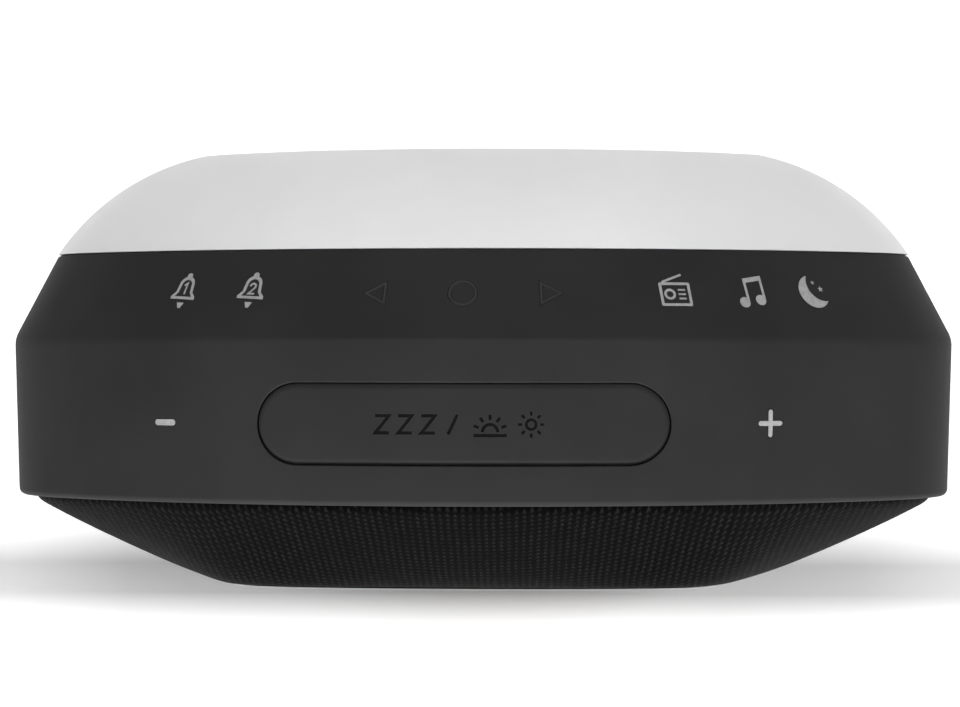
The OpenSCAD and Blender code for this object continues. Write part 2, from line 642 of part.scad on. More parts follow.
module dome(t0, t1) loft(concat([skirt(t0)], [for (k = [0:dome_n]) dome_ring(k / dome_n, t0)],
    [for (k = [dome_n:-1:0]) dome_ring(k / dome_n, t1)], [skirt(t1)]));
module grille_fabric() color("#141415") dome(0, cloth_t);

// Slots in front of each driver, in rows as long as the driver's round and the window let them be
driver_x = half_w - driver_margin - driver_r;
driver_z = corner_z + driver_rise;
slot_h = 3;
slot_pitch = 6;
slot_start = window_w / 2 + 1.2;
module grille_frame() color("#1d1d1f") difference() {
    dome(cloth_t, cloth_t + grille_t);
    for (s = [-1, 1], k = [-2:2]) {
        reach = sqrt(pow(driver_r - 2, 2) - pow(slot_pitch * k, 2)) - slot_h / 2;
        x0 = max(driver_x - reach, slot_start);
        translate([s > 0 ? x0 : -driver_x - reach, y_front, driver_z + slot_pitch * k - slot_h / 2])
            cube([driver_x + reach - x0, dome_root - 1 - y_front, slot_h]);
    }
}
// The lens has a flange behind the frame and a hollow back for the display panel
lens_back = dome_tip + cloth_t + grille_t + 2.3;
module display_window() color("#0a0a0b") difference() {
    union() {
        plate(window_pts(-fit), y_front, lens_back);
        plate(window_pts(1), lens_back - 1, lens_back);
    }
    plate(window_pts(-fit - lens_rim), y_front + lens_t, lens_back + 1);
}
module display_panel() color("#15181c")
    translate([-panel_w / 2, display_y, window_z - panel_h / 2]) cube([panel_w, panel_depth, panel_h]);
module display_board() color("#1f5b3a") difference() {
    translate([-display_board_w / 2, display_board_y, window_z - display_board_h / 2])
        cube([display_board_w, board_t, display_board_h]);
    bores_along_y(display_spots, screw_r + fit, display_board_y - 1, display_board_y + board_t + 1);
}
ribbon_w = 14;
module baffle() color("#3b3c3e") difference() {
    union() {
        plate(arch_pts(baffle_inset, baffle_z), baffle_y, shelf_y);
        bores_along_y(display_spots, boss_r, display_board_y + board_t, baffle_y + baffle_t / 2);
    }
    for (s = [-1, 1]) translate([s * driver_x, 0, driver_z])
        along_y(driver_r - 1.8, baffle_y - 1, shelf_y + 1);
    bores_along_y(baffle_spots, screw_r + fit, baffle_y - 1, shelf_y + 1);
    bores_along_y(display_spots, bore_r, display_board_y, baffle_y - 1);
    bores_along_y(driver_holes(), bore_r, baffle_y - 1, shelf_y + 1);
    translate([-ribbon_w / 2 - 2, baffle_y - 1, ribbon_z - 2]) cube([ribbon_w + 4, baffle_t + 2, 4]);
}
module baffle_screws() color("#b8babd") screws_along_y(baffle_spots, baffle_y, short_screw);

// Drivers, drawn about their own axis with y as the height; each hangs on three ears
ear_r = 2.6;
ear_a = [105, 180, 255];
gasket_depth = 0.6;
cone_y = baffle_y - gasket_depth;
flange_y = cone_y - 1.6;
surround_y = cone_y - 1.9;
magnet_y = cone_y + 13;
magnet_r = 14;
coil_r = 4;
basket_r = driver_r - 2;
cone_r = driver_r - 6;
land_r = driver_r - 1.9;
function driver_holes() = [for (s = [-1, 1], a = ear_a)
    [s * (driver_x + (driver_r + 0.4) * cos(a)), driver_z + (driver_r + 0.4) * sin(a)]];
module spin(side, pts)
    translate([side * driver_x, 0, driver_z]) rotate([-90, 0, 0]) rotate_extrude() polygon(pts);
module driver_frame(side) color("#2a2b2d") difference() {
    union() {
        spin(side, [[driver_r, cone_y], [driver_r, flange_y], [driver_r - 2.6, flange_y],
            [driver_r - 2.6, cone_y - 0.8], [magnet_r - 4, magnet_y - 1], [magnet_r - 4, magnet_y],
            [magnet_r - 2.8, magnet_y], [basket_r, cone_y]]);
        for (a = ear_a) translate([side * (driver_x + (driver_r + 0.4) * cos(a)), 0,
            driver_z + (driver_r + 0.4) * sin(a)]) along_y(ear_r, flange_y, cone_y);
    }
    for (a = [0:90:270]) translate([side * driver_x, cone_y + 3, driver_z]) rotate([0, a, 0])
        translate([-3.5, 0, 8]) cube([7, 6.5, driver_r]);
    bores_along_y(driver_holes(), screw_r + fit, flange_y - 1, cone_y + 1);
}
// A thin cone with a dust cap, down to the voice coil
module driver_cone(side) color("#17181a")
    spin(side, [[cone_r, surround_y + 0.8], [coil_r + 2, magnet_y - 6.4], [coil_r, magnet_y - 5],
        [coil_r, magnet_y - 2], [coil_r - 0.6, magnet_y - 2], [coil_r - 0.6, magnet_y - 6],
        [0, magnet_y - 8.2], [0, magnet_y - 8.8], [coil_r + 2, magnet_y - 7.2], [cone_r, surround_y]]);
// A half roll of foam between the cone and the flange
module driver_surround(side) color("#0f0f10")
    spin(side, [[cone_r, surround_y + 0.8], [cone_r, surround_y], [cone_r + 0.8, surround_y - 0.6],
        [cone_r + 1.8, surround_y - 0.8], [cone_r + 2.8, surround_y - 0.6], [cone_r + 3.4, surround_y],
        [land_r, surround_y], [land_r, flange_y], [cone_r + 3.4, flange_y],
        [cone_r + 2.6, surround_y - 0.2], [cone_r + 1.8, surround_y - 0.4], [cone_r + 1, surround_y - 0.1]]);
module driver_magnet(side) color("#8f9297")
    spin(side, [[coil_r - 1, magnet_y - 3], [coil_r - 1, magnet_y + 6], [0, magnet_y + 6], [0, magnet_y + 9],
        [magnet_r, magnet_y + 9], [magnet_r, magnet_y], [coil_r + 0.6, magnet_y],
        [coil_r + 0.6, magnet_y + 5], [coil_r - 0.8, magnet_y + 5], [coil_r - 0.8, magnet_y - 3]]);
module left_driver_frame() driver_frame(-1);
module right_driver_frame() driver_frame(1);
module left_driver_cone() driver_cone(-1);
module right_driver_cone() driver_cone(1);
module left_driver_surround() driver_surround(-1);
module right_driver_surround() driver_surround(1);
module left_driver_magnet() driver_magnet(-1);
module right_driver_magnet() driver_magnet(1);
module driver_gaskets() color("#39393b") difference() {
    for (side = [-1, 1])
        spin(side, [[driver_r, cone_y], [driver_r, baffle_y], [land_r, baffle_y], [land_r, cone_y]]);
    bores_along_y(driver_holes(), screw_r + fit, cone_y - 1, baffle_y + 1);
}
module driver_screws() color("#b8babd") screws_along_y(driver_holes(), flange_y, short_screw);

// Main board and its pieces
module on_deck(x, y) translate([x, y, deck_z]) children();
module main_board() color("#1f5b3a") difference() {
    translate([-main_w / 2, main_y0, main_z]) cube([main_w, main_y1 - main_y0, board_t]);
    for (p = main_spots) translate([p[0], p[1], main_z - 1]) screw_hole(board_t + 2);
}
chip = [12, 12, 1.2];
chip_at = [4, -4];
amp = [6.5, 6.5, 1];
amp_at = [18.8, 1];
module processor() color("#1c1c1e") on_deck(chip_at[0], chip_at[1]) cube(chip);
module amplifier() color("#1c1c1e") on_deck(amp_at[0], amp_at[1]) cube(amp);
shield = [16, 12, 2.6];
shield_t = 0.3;
module radio_shield() color("#c6c8cb") on_deck(4, 11) difference() {
    cube(shield);
    translate([shield_t, shield_t, -shield_t])
        cube([shield[0] - 2 * shield_t, shield[1] - 2 * shield_t, shield[2]]);
}
can_r = 3.2;
can_h = 8;
can_spots = [[-18, 23], [-10, 23], [-2, 23], [main_w / 2 - 4, 11.8]];
module capacitors() color("#2b3f66") for (p = can_spots) on_deck(p[0], p[1])
    cylinder(h = can_h, r = can_r, $fn = 32);
// A barrel socket with its pin
module dc_jack() color("#19191a") difference() {
    on_deck(jack_x - jack[0] / 2, socket_y - jack[1]) cube(jack);
    difference() {
        translate([jack_x, 0, jack_z]) along_y(3, socket_y - 9, y_back);
        translate([jack_x, 0, jack_z]) along_y(1, socket_y - 10, socket_y - 0.5);
    }
}
// Sheet metal shells with a contact tongue in each
module usb_sockets() color("#c4c6c9") for (x = usb_x) on_deck(x - usb[0] / 2, socket_y - usb[1]) {
    difference() {
        cube(usb);
        translate([sheet_t, 2 * sheet_t, sheet_t]) cube([usb[0] - 2 * sheet_t, usb[1], usb[2] - 2 * sheet_t]);
    }
    translate([1, sheet_t, usb[2] / 2]) cube([usb[0] - 2, usb[1] - 3, 1.8]);
}
module aux_socket() color("#19191a") difference() {
    union() {
        on_deck(aux_x - aux_w / 2, y_back - aux_l - aux_floor)
            cube([aux_w, aux_l + aux_floor - panel_t - seat_gap, aux_w]);
        translate([aux_x, 0, aux_z]) along_y(aux_nose_r, panel_y - 1, y_back);
    }
    translate([aux_x, 0, aux_z]) along_y(aux_r, y_back - aux_l, y_back + 1);
}
module cell_holder() color("#e8e4d8") on_deck(cell_at[0], cell_at[1]) difference() {
    cylinder(h = cell_t + 1.2, r = cell_r + 1.2);
    translate([0, 0, cell_floor]) cylinder(h = cell_t + 1, r = cell_r + fit);
}
module coin_cell() color("#d0d2d5") on_deck(cell_at[0], cell_at[1])
    translate([0, 0, cell_floor]) cylinder(h = cell_t, r = cell_r);
module board_screws() color("#b8babd") {
    for (p = main_spots) translate([p[0], p[1], deck_z]) rotate([180, 0, 0]) screw(short_screw);
    screws_along_y(display_spots, display_board_y, long_screw);
}

// Flat leads inside the case, bent square; each strip is a list of [across, height] corners
module strip(pts, t) for (k = [0:len(pts) - 2]) {
    a = pts[k];
    b = pts[k + 1];
    translate([min(a[0], b[0]) - t / 2, min(a[1], b[1]) - t / 2])
        square([abs(a[0] - b[0]) + t, abs(a[1] - b[1]) + t]);
}
film_t = 0.3;
film_y = main_y0 + 3;
film_end = deck_z + film_t / 2;
module ribbon(x, w, pts)
    translate([x - w / 2, 0, 0]) rotate([90, 0, 90]) linear_extrude(w) strip(pts, film_t);
board_back = display_board_y + board_t + film_t / 2;
module display_ribbon() color("#d9d5c8") ribbon(0, ribbon_w, [[board_back, window_z - ribbon_z],
    [board_back, ribbon_z], [film_y, ribbon_z], [film_y, film_end]]);
// The keys' ribbon leaves the front edge of their circuit
key_ribbon_x = 17.5;
key_ribbon_w = 8;
key_ribbon_z = deck_z + 3.4;
circuit_edge = skin(layer_s0, circuit_d);
circuit_front = circuit_edge[1] - film_t / 2;
ribbon_top = top_z + sqrt(pow(top_r - circuit_edge[0], 2) - pow(key_ribbon_x, 2));
module key_ribbon() color("#d9d5c8") ribbon(key_ribbon_x, key_ribbon_w, [[circuit_front, ribbon_top],
    [circuit_front, key_ribbon_z], [film_y, key_ribbon_z], [film_y, film_end]]);
lead_t = 0.8;
lead_w = 3;
lead_z = deck_z + 3.6;
lead_end = deck_z + lead_t / 2;
module flat_lead(y, pts)
    translate([0, y + lead_w, 0]) rotate([90, 0, 0]) linear_extrude(lead_w) strip(pts, lead_t);
driver_lead_x = main_w / 2 - 2;
terminal_x = driver_x - magnet_r - lead_t / 2;
drop_x = terminal_x - 7.6;
module driver_leads() color("#a33a32") both_sides() flat_lead(-5, [[terminal_x, driver_z],
    [drop_x, driver_z], [drop_x, lead_z], [driver_lead_x, lead_z], [driver_lead_x, lead_end]]);
module light_lead() color("#a33a32") flat_lead(light_board_y - lead_w,
    [[-leg_x(light_edge + light_ring_w / 2, lead_z), lead_z], [5 - driver_lead_x, lead_z],
    [5 - driver_lead_x, lead_end]]);

housing();
diffuser();
light_gasket();
rear_panel();
base_cover();
foot_pad();
grille_frame();
grille_fabric();
display_window();
display_panel();
display_board();
baffle();
left_driver_frame();
left_driver_cone();
left_driver_surround();
left_driver_magnet();
right_driver_frame();
right_driver_cone();
right_driver_surround();
right_driver_magnet();
driver_gaskets();
key_carrier();
key_circuit();
key_switches();
snooze_bar();
minus_key();
plus_key();
alarm_1_key();
alarm_2_key();
previous_key();
play_key();
next_key();
radio_key();
source_key();
sleep_key();
light_board();
light_chips();
light_reflector();
main_board();
processor();
amplifier();
radio_shield();
capacitors();
dc_jack();
usb_sockets();
aux_socket();
cell_holder();
coin_cell();
display_ribbon();
key_ribbon();
driver_leads();
light_lead();
rear_screws();
base_screws();
baffle_screws();
driver_screws();
board_screws();
carrier_screws();
light_screws();
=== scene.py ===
"""Looks of the sunrise alarm clock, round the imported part. Sizes are in millimetres until a mesh is made."""
from math import asin, atan2, ceil, cos, floor, hypot, pi, radians, sin, sqrt, tan

import bmesh
import bpy
from mathutils import Matrix, Vector


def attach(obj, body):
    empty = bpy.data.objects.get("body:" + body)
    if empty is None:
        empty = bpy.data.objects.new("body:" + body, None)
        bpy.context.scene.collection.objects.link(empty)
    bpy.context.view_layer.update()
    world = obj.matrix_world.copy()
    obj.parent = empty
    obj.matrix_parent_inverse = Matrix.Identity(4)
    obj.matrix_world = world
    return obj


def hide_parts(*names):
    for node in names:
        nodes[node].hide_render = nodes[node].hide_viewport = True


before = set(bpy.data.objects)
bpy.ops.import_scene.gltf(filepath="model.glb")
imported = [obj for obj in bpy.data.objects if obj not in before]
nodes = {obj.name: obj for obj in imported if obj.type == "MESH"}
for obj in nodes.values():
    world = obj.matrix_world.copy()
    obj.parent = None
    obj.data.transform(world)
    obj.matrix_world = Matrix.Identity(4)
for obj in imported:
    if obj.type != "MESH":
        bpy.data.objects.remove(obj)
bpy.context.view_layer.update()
MM = 0.001

# Stations along the depth, and the arch: a crown arc, two corner arcs and two leaning legs
Y_FRONT, Y_BAND, Y_CREASE, Y_SEAM, Y_LIGHT, Y_BACK = -41.8, -25.3, 5.7, 22.2, 22.1, 41.8
TOP_R, CORNER_R, CORNER_X, TOP_Z = 108.7, 40.0, 52.0, -5.7
CORNER_Z = TOP_Z + sqrt((TOP_R - CORNER_R) ** 2 - CORNER_X ** 2)
CROWN = atan2(CORNER_X, CORNER_Z - TOP_Z)
LEG = radians(28)
BASE_Z, WALL = 3.4, 2.5

# How far the skin is set in from the arch at the rim, the seam and the back, and the slopes that follow
FRONT_INSET, SEAM_INSET, BACK_INSET = 0.9, 8.7, 37.6
SLOPE = atan2(SEAM_INSET, Y_SEAM - Y_CREASE)
FRONT_SLOPE = atan2(FRONT_INSET, Y_CREASE - Y_BAND)
# Where the case ends at the seam, and the inset of the light's edge behind it
Y_CASE_END, LIGHT_INSET = 21.75, 8.4
# The rim's lip, the shelf behind the cloth, and the ledge that carries the light board
RIM_INSET, SHELF_Y, SHELF_T, SHELF_INSET = 4.1, -20.3, 2.0, 14.05
LEDGE_Y, BOARD_Y, LEDGE_INSET = 17.4, 19.2, 17.2
# The light's bulge and wall, and the lip and seat of the rear panel
LIGHT_R, LIGHT_WALL, PANEL_Y, LIP_INSET, LIP_T, PANEL_SEAT = 46.2, 2.4, 39.6, 39.6, 2.0, 37.9
# Depths of the keys' flanges and of their carrier under the skin
FLANGE_D, FLANGE_T, CARRIER_D = 2.75, 1.0, 8.4
# The snooze bar: length, breadth, place, gap round it and flange
BAR_L, BAR_B, BAR_Y, BAR_GAP, BAR_FLANGE = 75.2, 14.7, -9.9, 0.2, 0.9
# Roundings of the rim, of the crease at the crown and further out, of the seam and of the lip
RIM_ROUND, CREASE_ROUND, CREASE_SOFTER, SEAM_ROUND, LIP_ROUND = 1.3, 1.4, 4, 0.12, 0.3

# Rows of keys, as distances behind the crease, and the keys as (angle round the crown, row)
FRONT_ROW, REAR_ROW, PLAY_ROW = -15.6, 9.8, 9.2
KEYS = {
    "minus_key": (-31.09, FRONT_ROW), "plus_key": (31.09, FRONT_ROW),
    "alarm_1_key": (-30.4, REAR_ROW), "alarm_2_key": (-22.2, REAR_ROW),
    "previous_key": (-8.9, PLAY_ROW), "play_key": (0, PLAY_ROW), "next_key": (8.9, PLAY_ROW),
    "radio_key": (21.65, REAR_ROW), "source_key": (30.05, REAR_ROW), "sleep_key": (37.95, REAR_ROW),
}
PLAY_R = 2.7
# Screw posts under the key carrier, placed like the keys, and those of the base cover, as (x, y)
POSTS = [(-24.48, FRONT_ROW), (24.48, FRONT_ROW), (-15.55, REAR_ROW), (15.27, REAR_ROW)]
POST_R, BASE_POST_R, BASE_POST_H, RIB_H = 2.6, 3.2, 9, 4.5
BASE_POSTS = [(s * 67.97, y) for s in (-1, 1) for y in (-8, 10)]
# Stems under the snooze bar: angle, radius and depth
STEM_A, STEM_R, STEM_D = 12, 1.3, 5.65

# Edges that turn more than this many degrees stay sharp
SHARP = 9


# ---- Materials ----

def linear(code):
    """An sRGB hex colour as linear RGBA."""
    rgb = [int(code[i:i + 2], 16) / 255 for i in (1, 3, 5)]
    return [c / 12.92 if c <= 0.04045 else ((c + 0.055) / 1.055) ** 2.4 for c in rgb] + [1]


def add(tree, kind, inputs=(), **settings):
    """Adds a shader node with its settings, and its inputs by name or number, as values, sockets or nodes."""
    made = tree.nodes.new("ShaderNode" + kind)
    for key, value in settings.items():
        setattr(made, key, value)
    for key, value in dict(inputs).items():
        if isinstance(value, bpy.types.Node):
            value = value.outputs[0]
        if isinstance(value, bpy.types.NodeSocket):
            tree.links.new(value, made.inputs[key])
        else:
            made.inputs[key].default_value = value
    return made


def noise(tree, at, size, detail=3.0, stretch=(1, 1, 1)):
    """Noise whose features are about size millimetres across."""
    scaled = add(tree, "VectorMath", {0: at, 1: stretch}, operation="MULTIPLY")
    return add(tree, "TexNoise", {"Vector": scaled, "Scale": 1 / (size * MM), "Detail": detail})


def span(tree, value, low, high, out_low=0.0, out_high=1.0):
    """Carries a value from one range to another, and clamps it."""
    return add(tree, "MapRange", {"Value": value, "From Min": low, "From Max": high, "To Min": out_low,
                                  "To Max": out_high})


def blend(tree, share, a, b):
    """Mixes two colours, each a hex code or a socket."""
    a, b = (linear(c) if isinstance(c, str) else c for c in (a, b))
    return add(tree, "Mix", {0: share, 6: a, 7: b}, data_type="RGBA").outputs[2]


def finish(name, colours, rough, patch, grain, relief, worn=None, pattern=None, stretch=(1, 1, 1), **fixed):
    """A surface: two close tones in patches, a fine grain as bump, roughness that follows the grain, an
    optional pattern (share, colour and height) and worn edges (colour and width). Sizes are in millimetres,
    and fixed holds plain values of the shader."""
    made = bpy.data.materials.new(name)
    made.use_nodes = True
    tree = made.node_tree
    tree.nodes.clear()
    at = add(tree, "TexCoord").outputs["Object"]
    tone = span(tree, noise(tree, at, patch), 0.35, 0.65)
    colour = blend(tree, tone, *colours)
    fine = noise(tree, at, grain, 4.0, stretch)
    roughness = span(tree, fine, 0.3, 0.7, *rough)
    height = fine.outputs[0]
    if pattern:
        share, ink, raised = pattern(tree, at)
        colour = blend(tree, share, colour, ink)
        height = add(tree, "Math", {0: share, 1: raised, 2: height}, operation="MULTIPLY_ADD")
    if worn:
        soft = add(tree, "Bevel", {"Radius": worn[1] * MM}, samples=4)
        flat = add(tree, "NewGeometry").outputs["Normal"]
        turn = add(tree, "VectorMath", {0: soft, 1: flat}, operation="DOT_PRODUCT").outputs["Value"]
        edge = span(tree, turn, 0.995, 0.85)
        scuffs = span(tree, noise(tree, at, 2.5), 0.4, 0.6)
        rubbed = add(tree, "Math", {0: edge, 1: scuffs}, operation="MULTIPLY")
        colour = blend(tree, rubbed, colour, worn[0])
    bump = add(tree, "Bump", {"Height": height, "Distance": relief * MM, "Strength": 1.0})
    shader = add(tree, "BsdfPrincipled",
                 {"Base Color": colour, "Roughness": roughness, "Normal": bump, **fixed})
    add(tree, "OutputMaterial", {"Surface": shader})
    return made


def stripes(pitch, width, ink, raised):
    """Straight lines across x, as on ribbons and boards."""
    def pattern(tree, at):
        along = add(tree, "SeparateXYZ", {0: at}).outputs[0]
        turn = add(tree, "Math", {0: along, 1: 1 / (pitch * MM)}, operation="MULTIPLY")
        part = add(tree, "Math", {0: turn}, operation="FRACT")
        line = add(tree, "Math", {0: part, 1: width / pitch}, operation="LESS_THAN")
        return line.outputs[0], ink, raised
    return pattern


def tracks(ink, cell=1.6):
    """Copper tracks and pads under the mask: the borders of square cells."""
    def pattern(tree, at):
        cells = add(tree, "TexVoronoi", {"Vector": at, "Scale": 1 / (cell * MM), "Randomness": 0.75},
                    feature="F1", distance="CHEBYCHEV")
        line = span(tree, cells.outputs["Distance"], 0.36, 0.40)
        return line.outputs[0], ink, 0.6
    return pattern


def painted_side_shade(tree, at):
    """Painted shade: the opal plastic is coloured a little greyer towards the sides, away from the middle in
    x.
    """
    x = add(tree, "SeparateXYZ", {0: at}).outputs[0]
    off = add(tree, "Math", {0: x}, operation="ABSOLUTE")
    return span(tree, off, 0.03, 0.092).outputs[0], "#dedede", 0.0


# Pitch of the knit's columns and of its rows, in millimetres
COLUMN, ROW = 1.4, 0.8


def knit(tree, at):
    """A warp knit: columns of slanting stitches with grooves between, painted near black as painted shade,
    drawn inwards over the dome.
    """
    x, y, z = add(tree, "SeparateXYZ", {0: at}).outputs
    drawn = add(tree, "Math", {0: x, 1: span(tree, y, -0.0416, -0.0256, 1.11, 1.0)}, operation="MULTIPLY")
    wobble = span(tree, noise(tree, at, 5), 0.3, 0.7, -0.5, 0.5)
    u = add(tree, "Math", {0: drawn, 1: 2 * pi / (COLUMN * MM), 2: wobble}, operation="MULTIPLY_ADD")
    rib = add(tree, "Math", {0: u}, operation="COSINE")
    slant = add(tree, "Math", {0: rib, 1: -1.5, 2: wobble}, operation="MULTIPLY_ADD")
    v = add(tree, "Math", {0: z, 1: 2 * pi / (ROW * MM), 2: slant}, operation="MULTIPLY_ADD")
    row = add(tree, "Math", {0: v}, operation="COSINE")
    stitch = add(tree, "Math", {0: row, 1: 0.8, 2: rib}, operation="MULTIPLY_ADD")
    return span(tree, stitch, 1.5, 0.1).outputs[0], "#020202", -2.0


M = {
    # Fine spark-eroded texture on black ABS: a dull sheen that breaks up highlights
    "case": finish("moulded_abs_fine_texture", ("#2d2d2d", "#313131"), (0.5, 0.62), 26, 0.22, 0.005,
                   ("#3a3a3a", 0.35), **{"Specular IOR Level": 0.02}),
    # The playback keys' raised lines: the same plastic, smoother, painted a little lighter as a painted
    # highlight
    "ridge": finish("moulded_abs_ridge_painted_highlight", ("#363636", "#3c3c3c"), (0.36, 0.48), 4, 0.2, 0.004,
                    ("#3c3d3e", 0.2), **{"Specular IOR Level": 0.3}),
    # The same plastic in the coarser texture of the back and the base
    "back": finish("moulded_abs_coarse_texture", ("#1e1f21", "#252628"), (0.5, 0.66), 20, 0.5, 0.02,
                   ("#38393c", 0.3), **{"Specular IOR Level": 0.3}),
    # The same plastic unpainted inside: flow marks in broad patches, corners scuffed in assembly
    "inner": finish("moulded_abs_plain_inside", ("#2c2d2f", "#36373a"), (0.4, 0.55), 12, 0.8, 0.008,
                    ("#4a4b4e", 0.3)),
    # Pad printed ink: matt, a little uneven, thin at the edges
    "ink": finish("pad_printed_grey_ink", ("#979797", "#a8a8a8"), (0.5, 0.7), 0.9, 0.12, 0.004,
                  ("#6f7072", 0.12), **{"Specular IOR Level": 0.3}),
    # The floors of the marks pressed into the bar: matt, and painted dark as painted shade
    "sunk": finish("moulded_abs_recess_painted_shade", ("#0c0c0d", "#121213"), (0.75, 0.9), 3, 0.2, 0.008,
                   **{"Specular IOR Level": 0.15}),
    # Opal polycarbonate with a satin face: light enters and softens every edge, and painted shade greys its
    # sides
    "light": finish("frosted_opal_polycarbonate", ("#f0f0f0", "#f4f4f4"), (0.34, 0.46), 30, 0.4, 0.004,
                    pattern=painted_side_shade, **{"Subsurface Weight": 0.12, "Subsurface Radius": (1, 1, 1),
                                        "Subsurface Scale": 0.002, "Specular IOR Level": 0.35}),
    # Stretched polyester knit: stitches catch the light, the holes between are painted black as painted shade
    "cloth": finish("warp_knit_polyester", ("#202020", "#343434"), (0.75, 0.9), 3, 0.16, 0.16,
                    pattern=knit, **{"Sheen Weight": 0.01, "Sheen Roughness": 0.4,
                                     "Specular IOR Level": 0.12}),
    # Smoked acrylic: near black and glossy, with faint polishing marks in its roughness
    "lens": finish("smoked_acrylic_polished", ("#050506", "#08080a"), (0.04, 0.11), 30, 4, 0.001,
                   stretch=(0.2, 1, 1), **{"Coat Weight": 0.3, "Coat Roughness": 0.03}),
    # Warm segments behind fine louvres: even light with thin darker lines across it
    "digits": finish("lit_warm_segments", ("#ffb26b", "#ffc78d"), (0.3, 0.4), 3, 0.4, 0.002,
                     pattern=stripes(0.5, 0.08, "#d98a45", -0.3),
                     **{"Emission Color": linear("#ffb877"), "Emission Strength": 1.1}),
    # Film layers of the display: dark, smooth and slightly mottled
    "display": finish("display_film_stack", ("#121518", "#1a1e23"), (0.18, 0.3), 8, 0.3, 0.003),
    # Nitrile rubber: dusty, high friction, blooms lighter in patches
    "rubber": finish("nitrile_rubber_moulded", ("#161617", "#202022"), (0.72, 0.9), 5, 0.18, 0.015,
                     ("#2f2f31", 0.3), **{"Specular IOR Level": 0.3}),
    # Open-cell foam rolled into a half round: no shine, and fine pores
    "foam": finish("polyurethane_foam_edge", ("#0d0d0e", "#1a1a1b"), (0.85, 0.97), 1.2, 0.25, 0.08),
    # Pressed pulp: dry and fibrous, with fibres drawn out one way
    "cone": finish("pressed_paper_pulp", ("#131416", "#202124"), (0.7, 0.9), 1.5, 0.35, 0.05,
                   stretch=(1, 0.3, 1)),
    # Zinc plated steel: small crystal patches and fine turning lines
    "magnet": finish("zinc_plated_steel", ("#7d8085", "#a3a6ab"), (0.24, 0.42), 2.2, 0.3, 0.006,
                     ("#d6d8db", 0.3), stretch=(1, 6, 1), Metallic=1.0),
    # Green mask over copper: the tracks show through as a lighter net and stand a little high
    "green_board": finish("green_solder_mask_board", ("#17482e", "#1f5b3a"), (0.28, 0.42), 6, 0.5, 0.01,
                          pattern=tracks("#2d7a4e")),
    # White mask on the light's board: pale, with wide tracks just to be seen
    "white_board": finish("white_solder_mask_board", ("#e6e6e1", "#f2f2ee"), (0.3, 0.45), 6, 0.5, 0.01,
                          pattern=tracks("#cfcfc6", 3.0)),
    # Yellow phosphor gel between white frames
    "light_chip": finish("phosphor_gel_in_white_body", ("#f3e39a", "#fbf0bd"), (0.25, 0.4), 0.8, 0.2, 0.01,
                         pattern=stripes(3.0, 0.5, "#f4f4f0", 0.5)),
    # Reflector plastic: bright, clean and half matt
    "white": finish("white_pbt_reflector", ("#e9e9e5", "#f6f6f3"), (0.3, 0.45), 14, 0.6, 0.006,
                    ("#ffffff", 0.3)),
    # Moulded epoxy: flat black with a fine grain and paler edges
    "resin": finish("black_epoxy_chip_body", ("#151517", "#1f1f21"), (0.45, 0.6), 2, 0.15, 0.006,
                    ("#323235", 0.15)),
    # Tinned steel: bright, with rolling lines one way and cut edges that shine
    "sheet": finish("tinned_sheet_steel", ("#b0b3b8", "#cdd0d3"), (0.2, 0.36), 3, 0.5, 0.005,
                    ("#e3e5e7", 0.2), stretch=(0.25, 1, 1), Metallic=1.0),
    # Shrunk sleeve with a printed stripe
    "can": finish("printed_capacitor_sleeve", ("#22355c", "#2b3f66"), (0.25, 0.4), 3, 0.4, 0.004,
                  pattern=stripes(8.0, 1.4, "#9fb0cc", 0.1)),
    # Glass-filled nylon: dull, with a slight grain from the fibres
    "socket": finish("glass_filled_nylon", ("#151516", "#1e1e20"), (0.45, 0.62), 3, 0.3, 0.012,
                     ("#303033", 0.2)),
    # Undyed nylon: creamy and waxy
    "holder": finish("natural_nylon_holder", ("#dcd7c8", "#ebe7dc"), (0.4, 0.55), 5, 0.4, 0.008,
                     ("#f6f3ea", 0.2)),
    # Steel caps of the small switches: brushed and bright at the rim
    "switch": finish("switch_body_with_steel_cap", ("#b4b7bc", "#cfd2d6"), (0.28, 0.45), 1.5, 0.3, 0.006,
                     ("#e6e8ea", 0.15), Metallic=0.6),
    # Amber film with copper tracks, which stand up as ridges
    "flex": finish("polyimide_film_with_tracks", ("#6b3f17", "#85511f"), (0.3, 0.45), 8, 0.4, 0.004,
                   pattern=stripes(1.6, 0.7, "#b9742f", 0.6)),
    # Pale jacket with ridges over its cores
    "flat_cable": finish("flat_cable_with_cores", ("#d0ccbe", "#dedacd"), (0.35, 0.5), 6, 0.4, 0.004,
                         pattern=stripes(1.0, 0.35, "#a9a69b", 0.8)),
    # Red silicone: soft sheen, pale where it bends
    "lead": finish("silicone_lead_sleeve", ("#942f29", "#ad3c34"), (0.4, 0.55), 4, 0.3, 0.006,
                   ("#c45a50", 0.15)),
    # Dark zinc heads: worn bright at the drive
    "outer_screws": finish("black_zinc_screws", ("#5d6064", "#7c7f83"), (0.28, 0.45), 1.2, 0.2, 0.006,
                           ("#a9abae", 0.15), Metallic=1.0),
    # Bright zinc heads: clean, as they are never touched
    "inner_screws": finish("bright_zinc_screws", ("#a6a9ad", "#c4c7ca"), (0.2, 0.34), 1.2, 0.2, 0.006,
                           ("#e0e2e4", 0.15), Metallic=1.0),
}

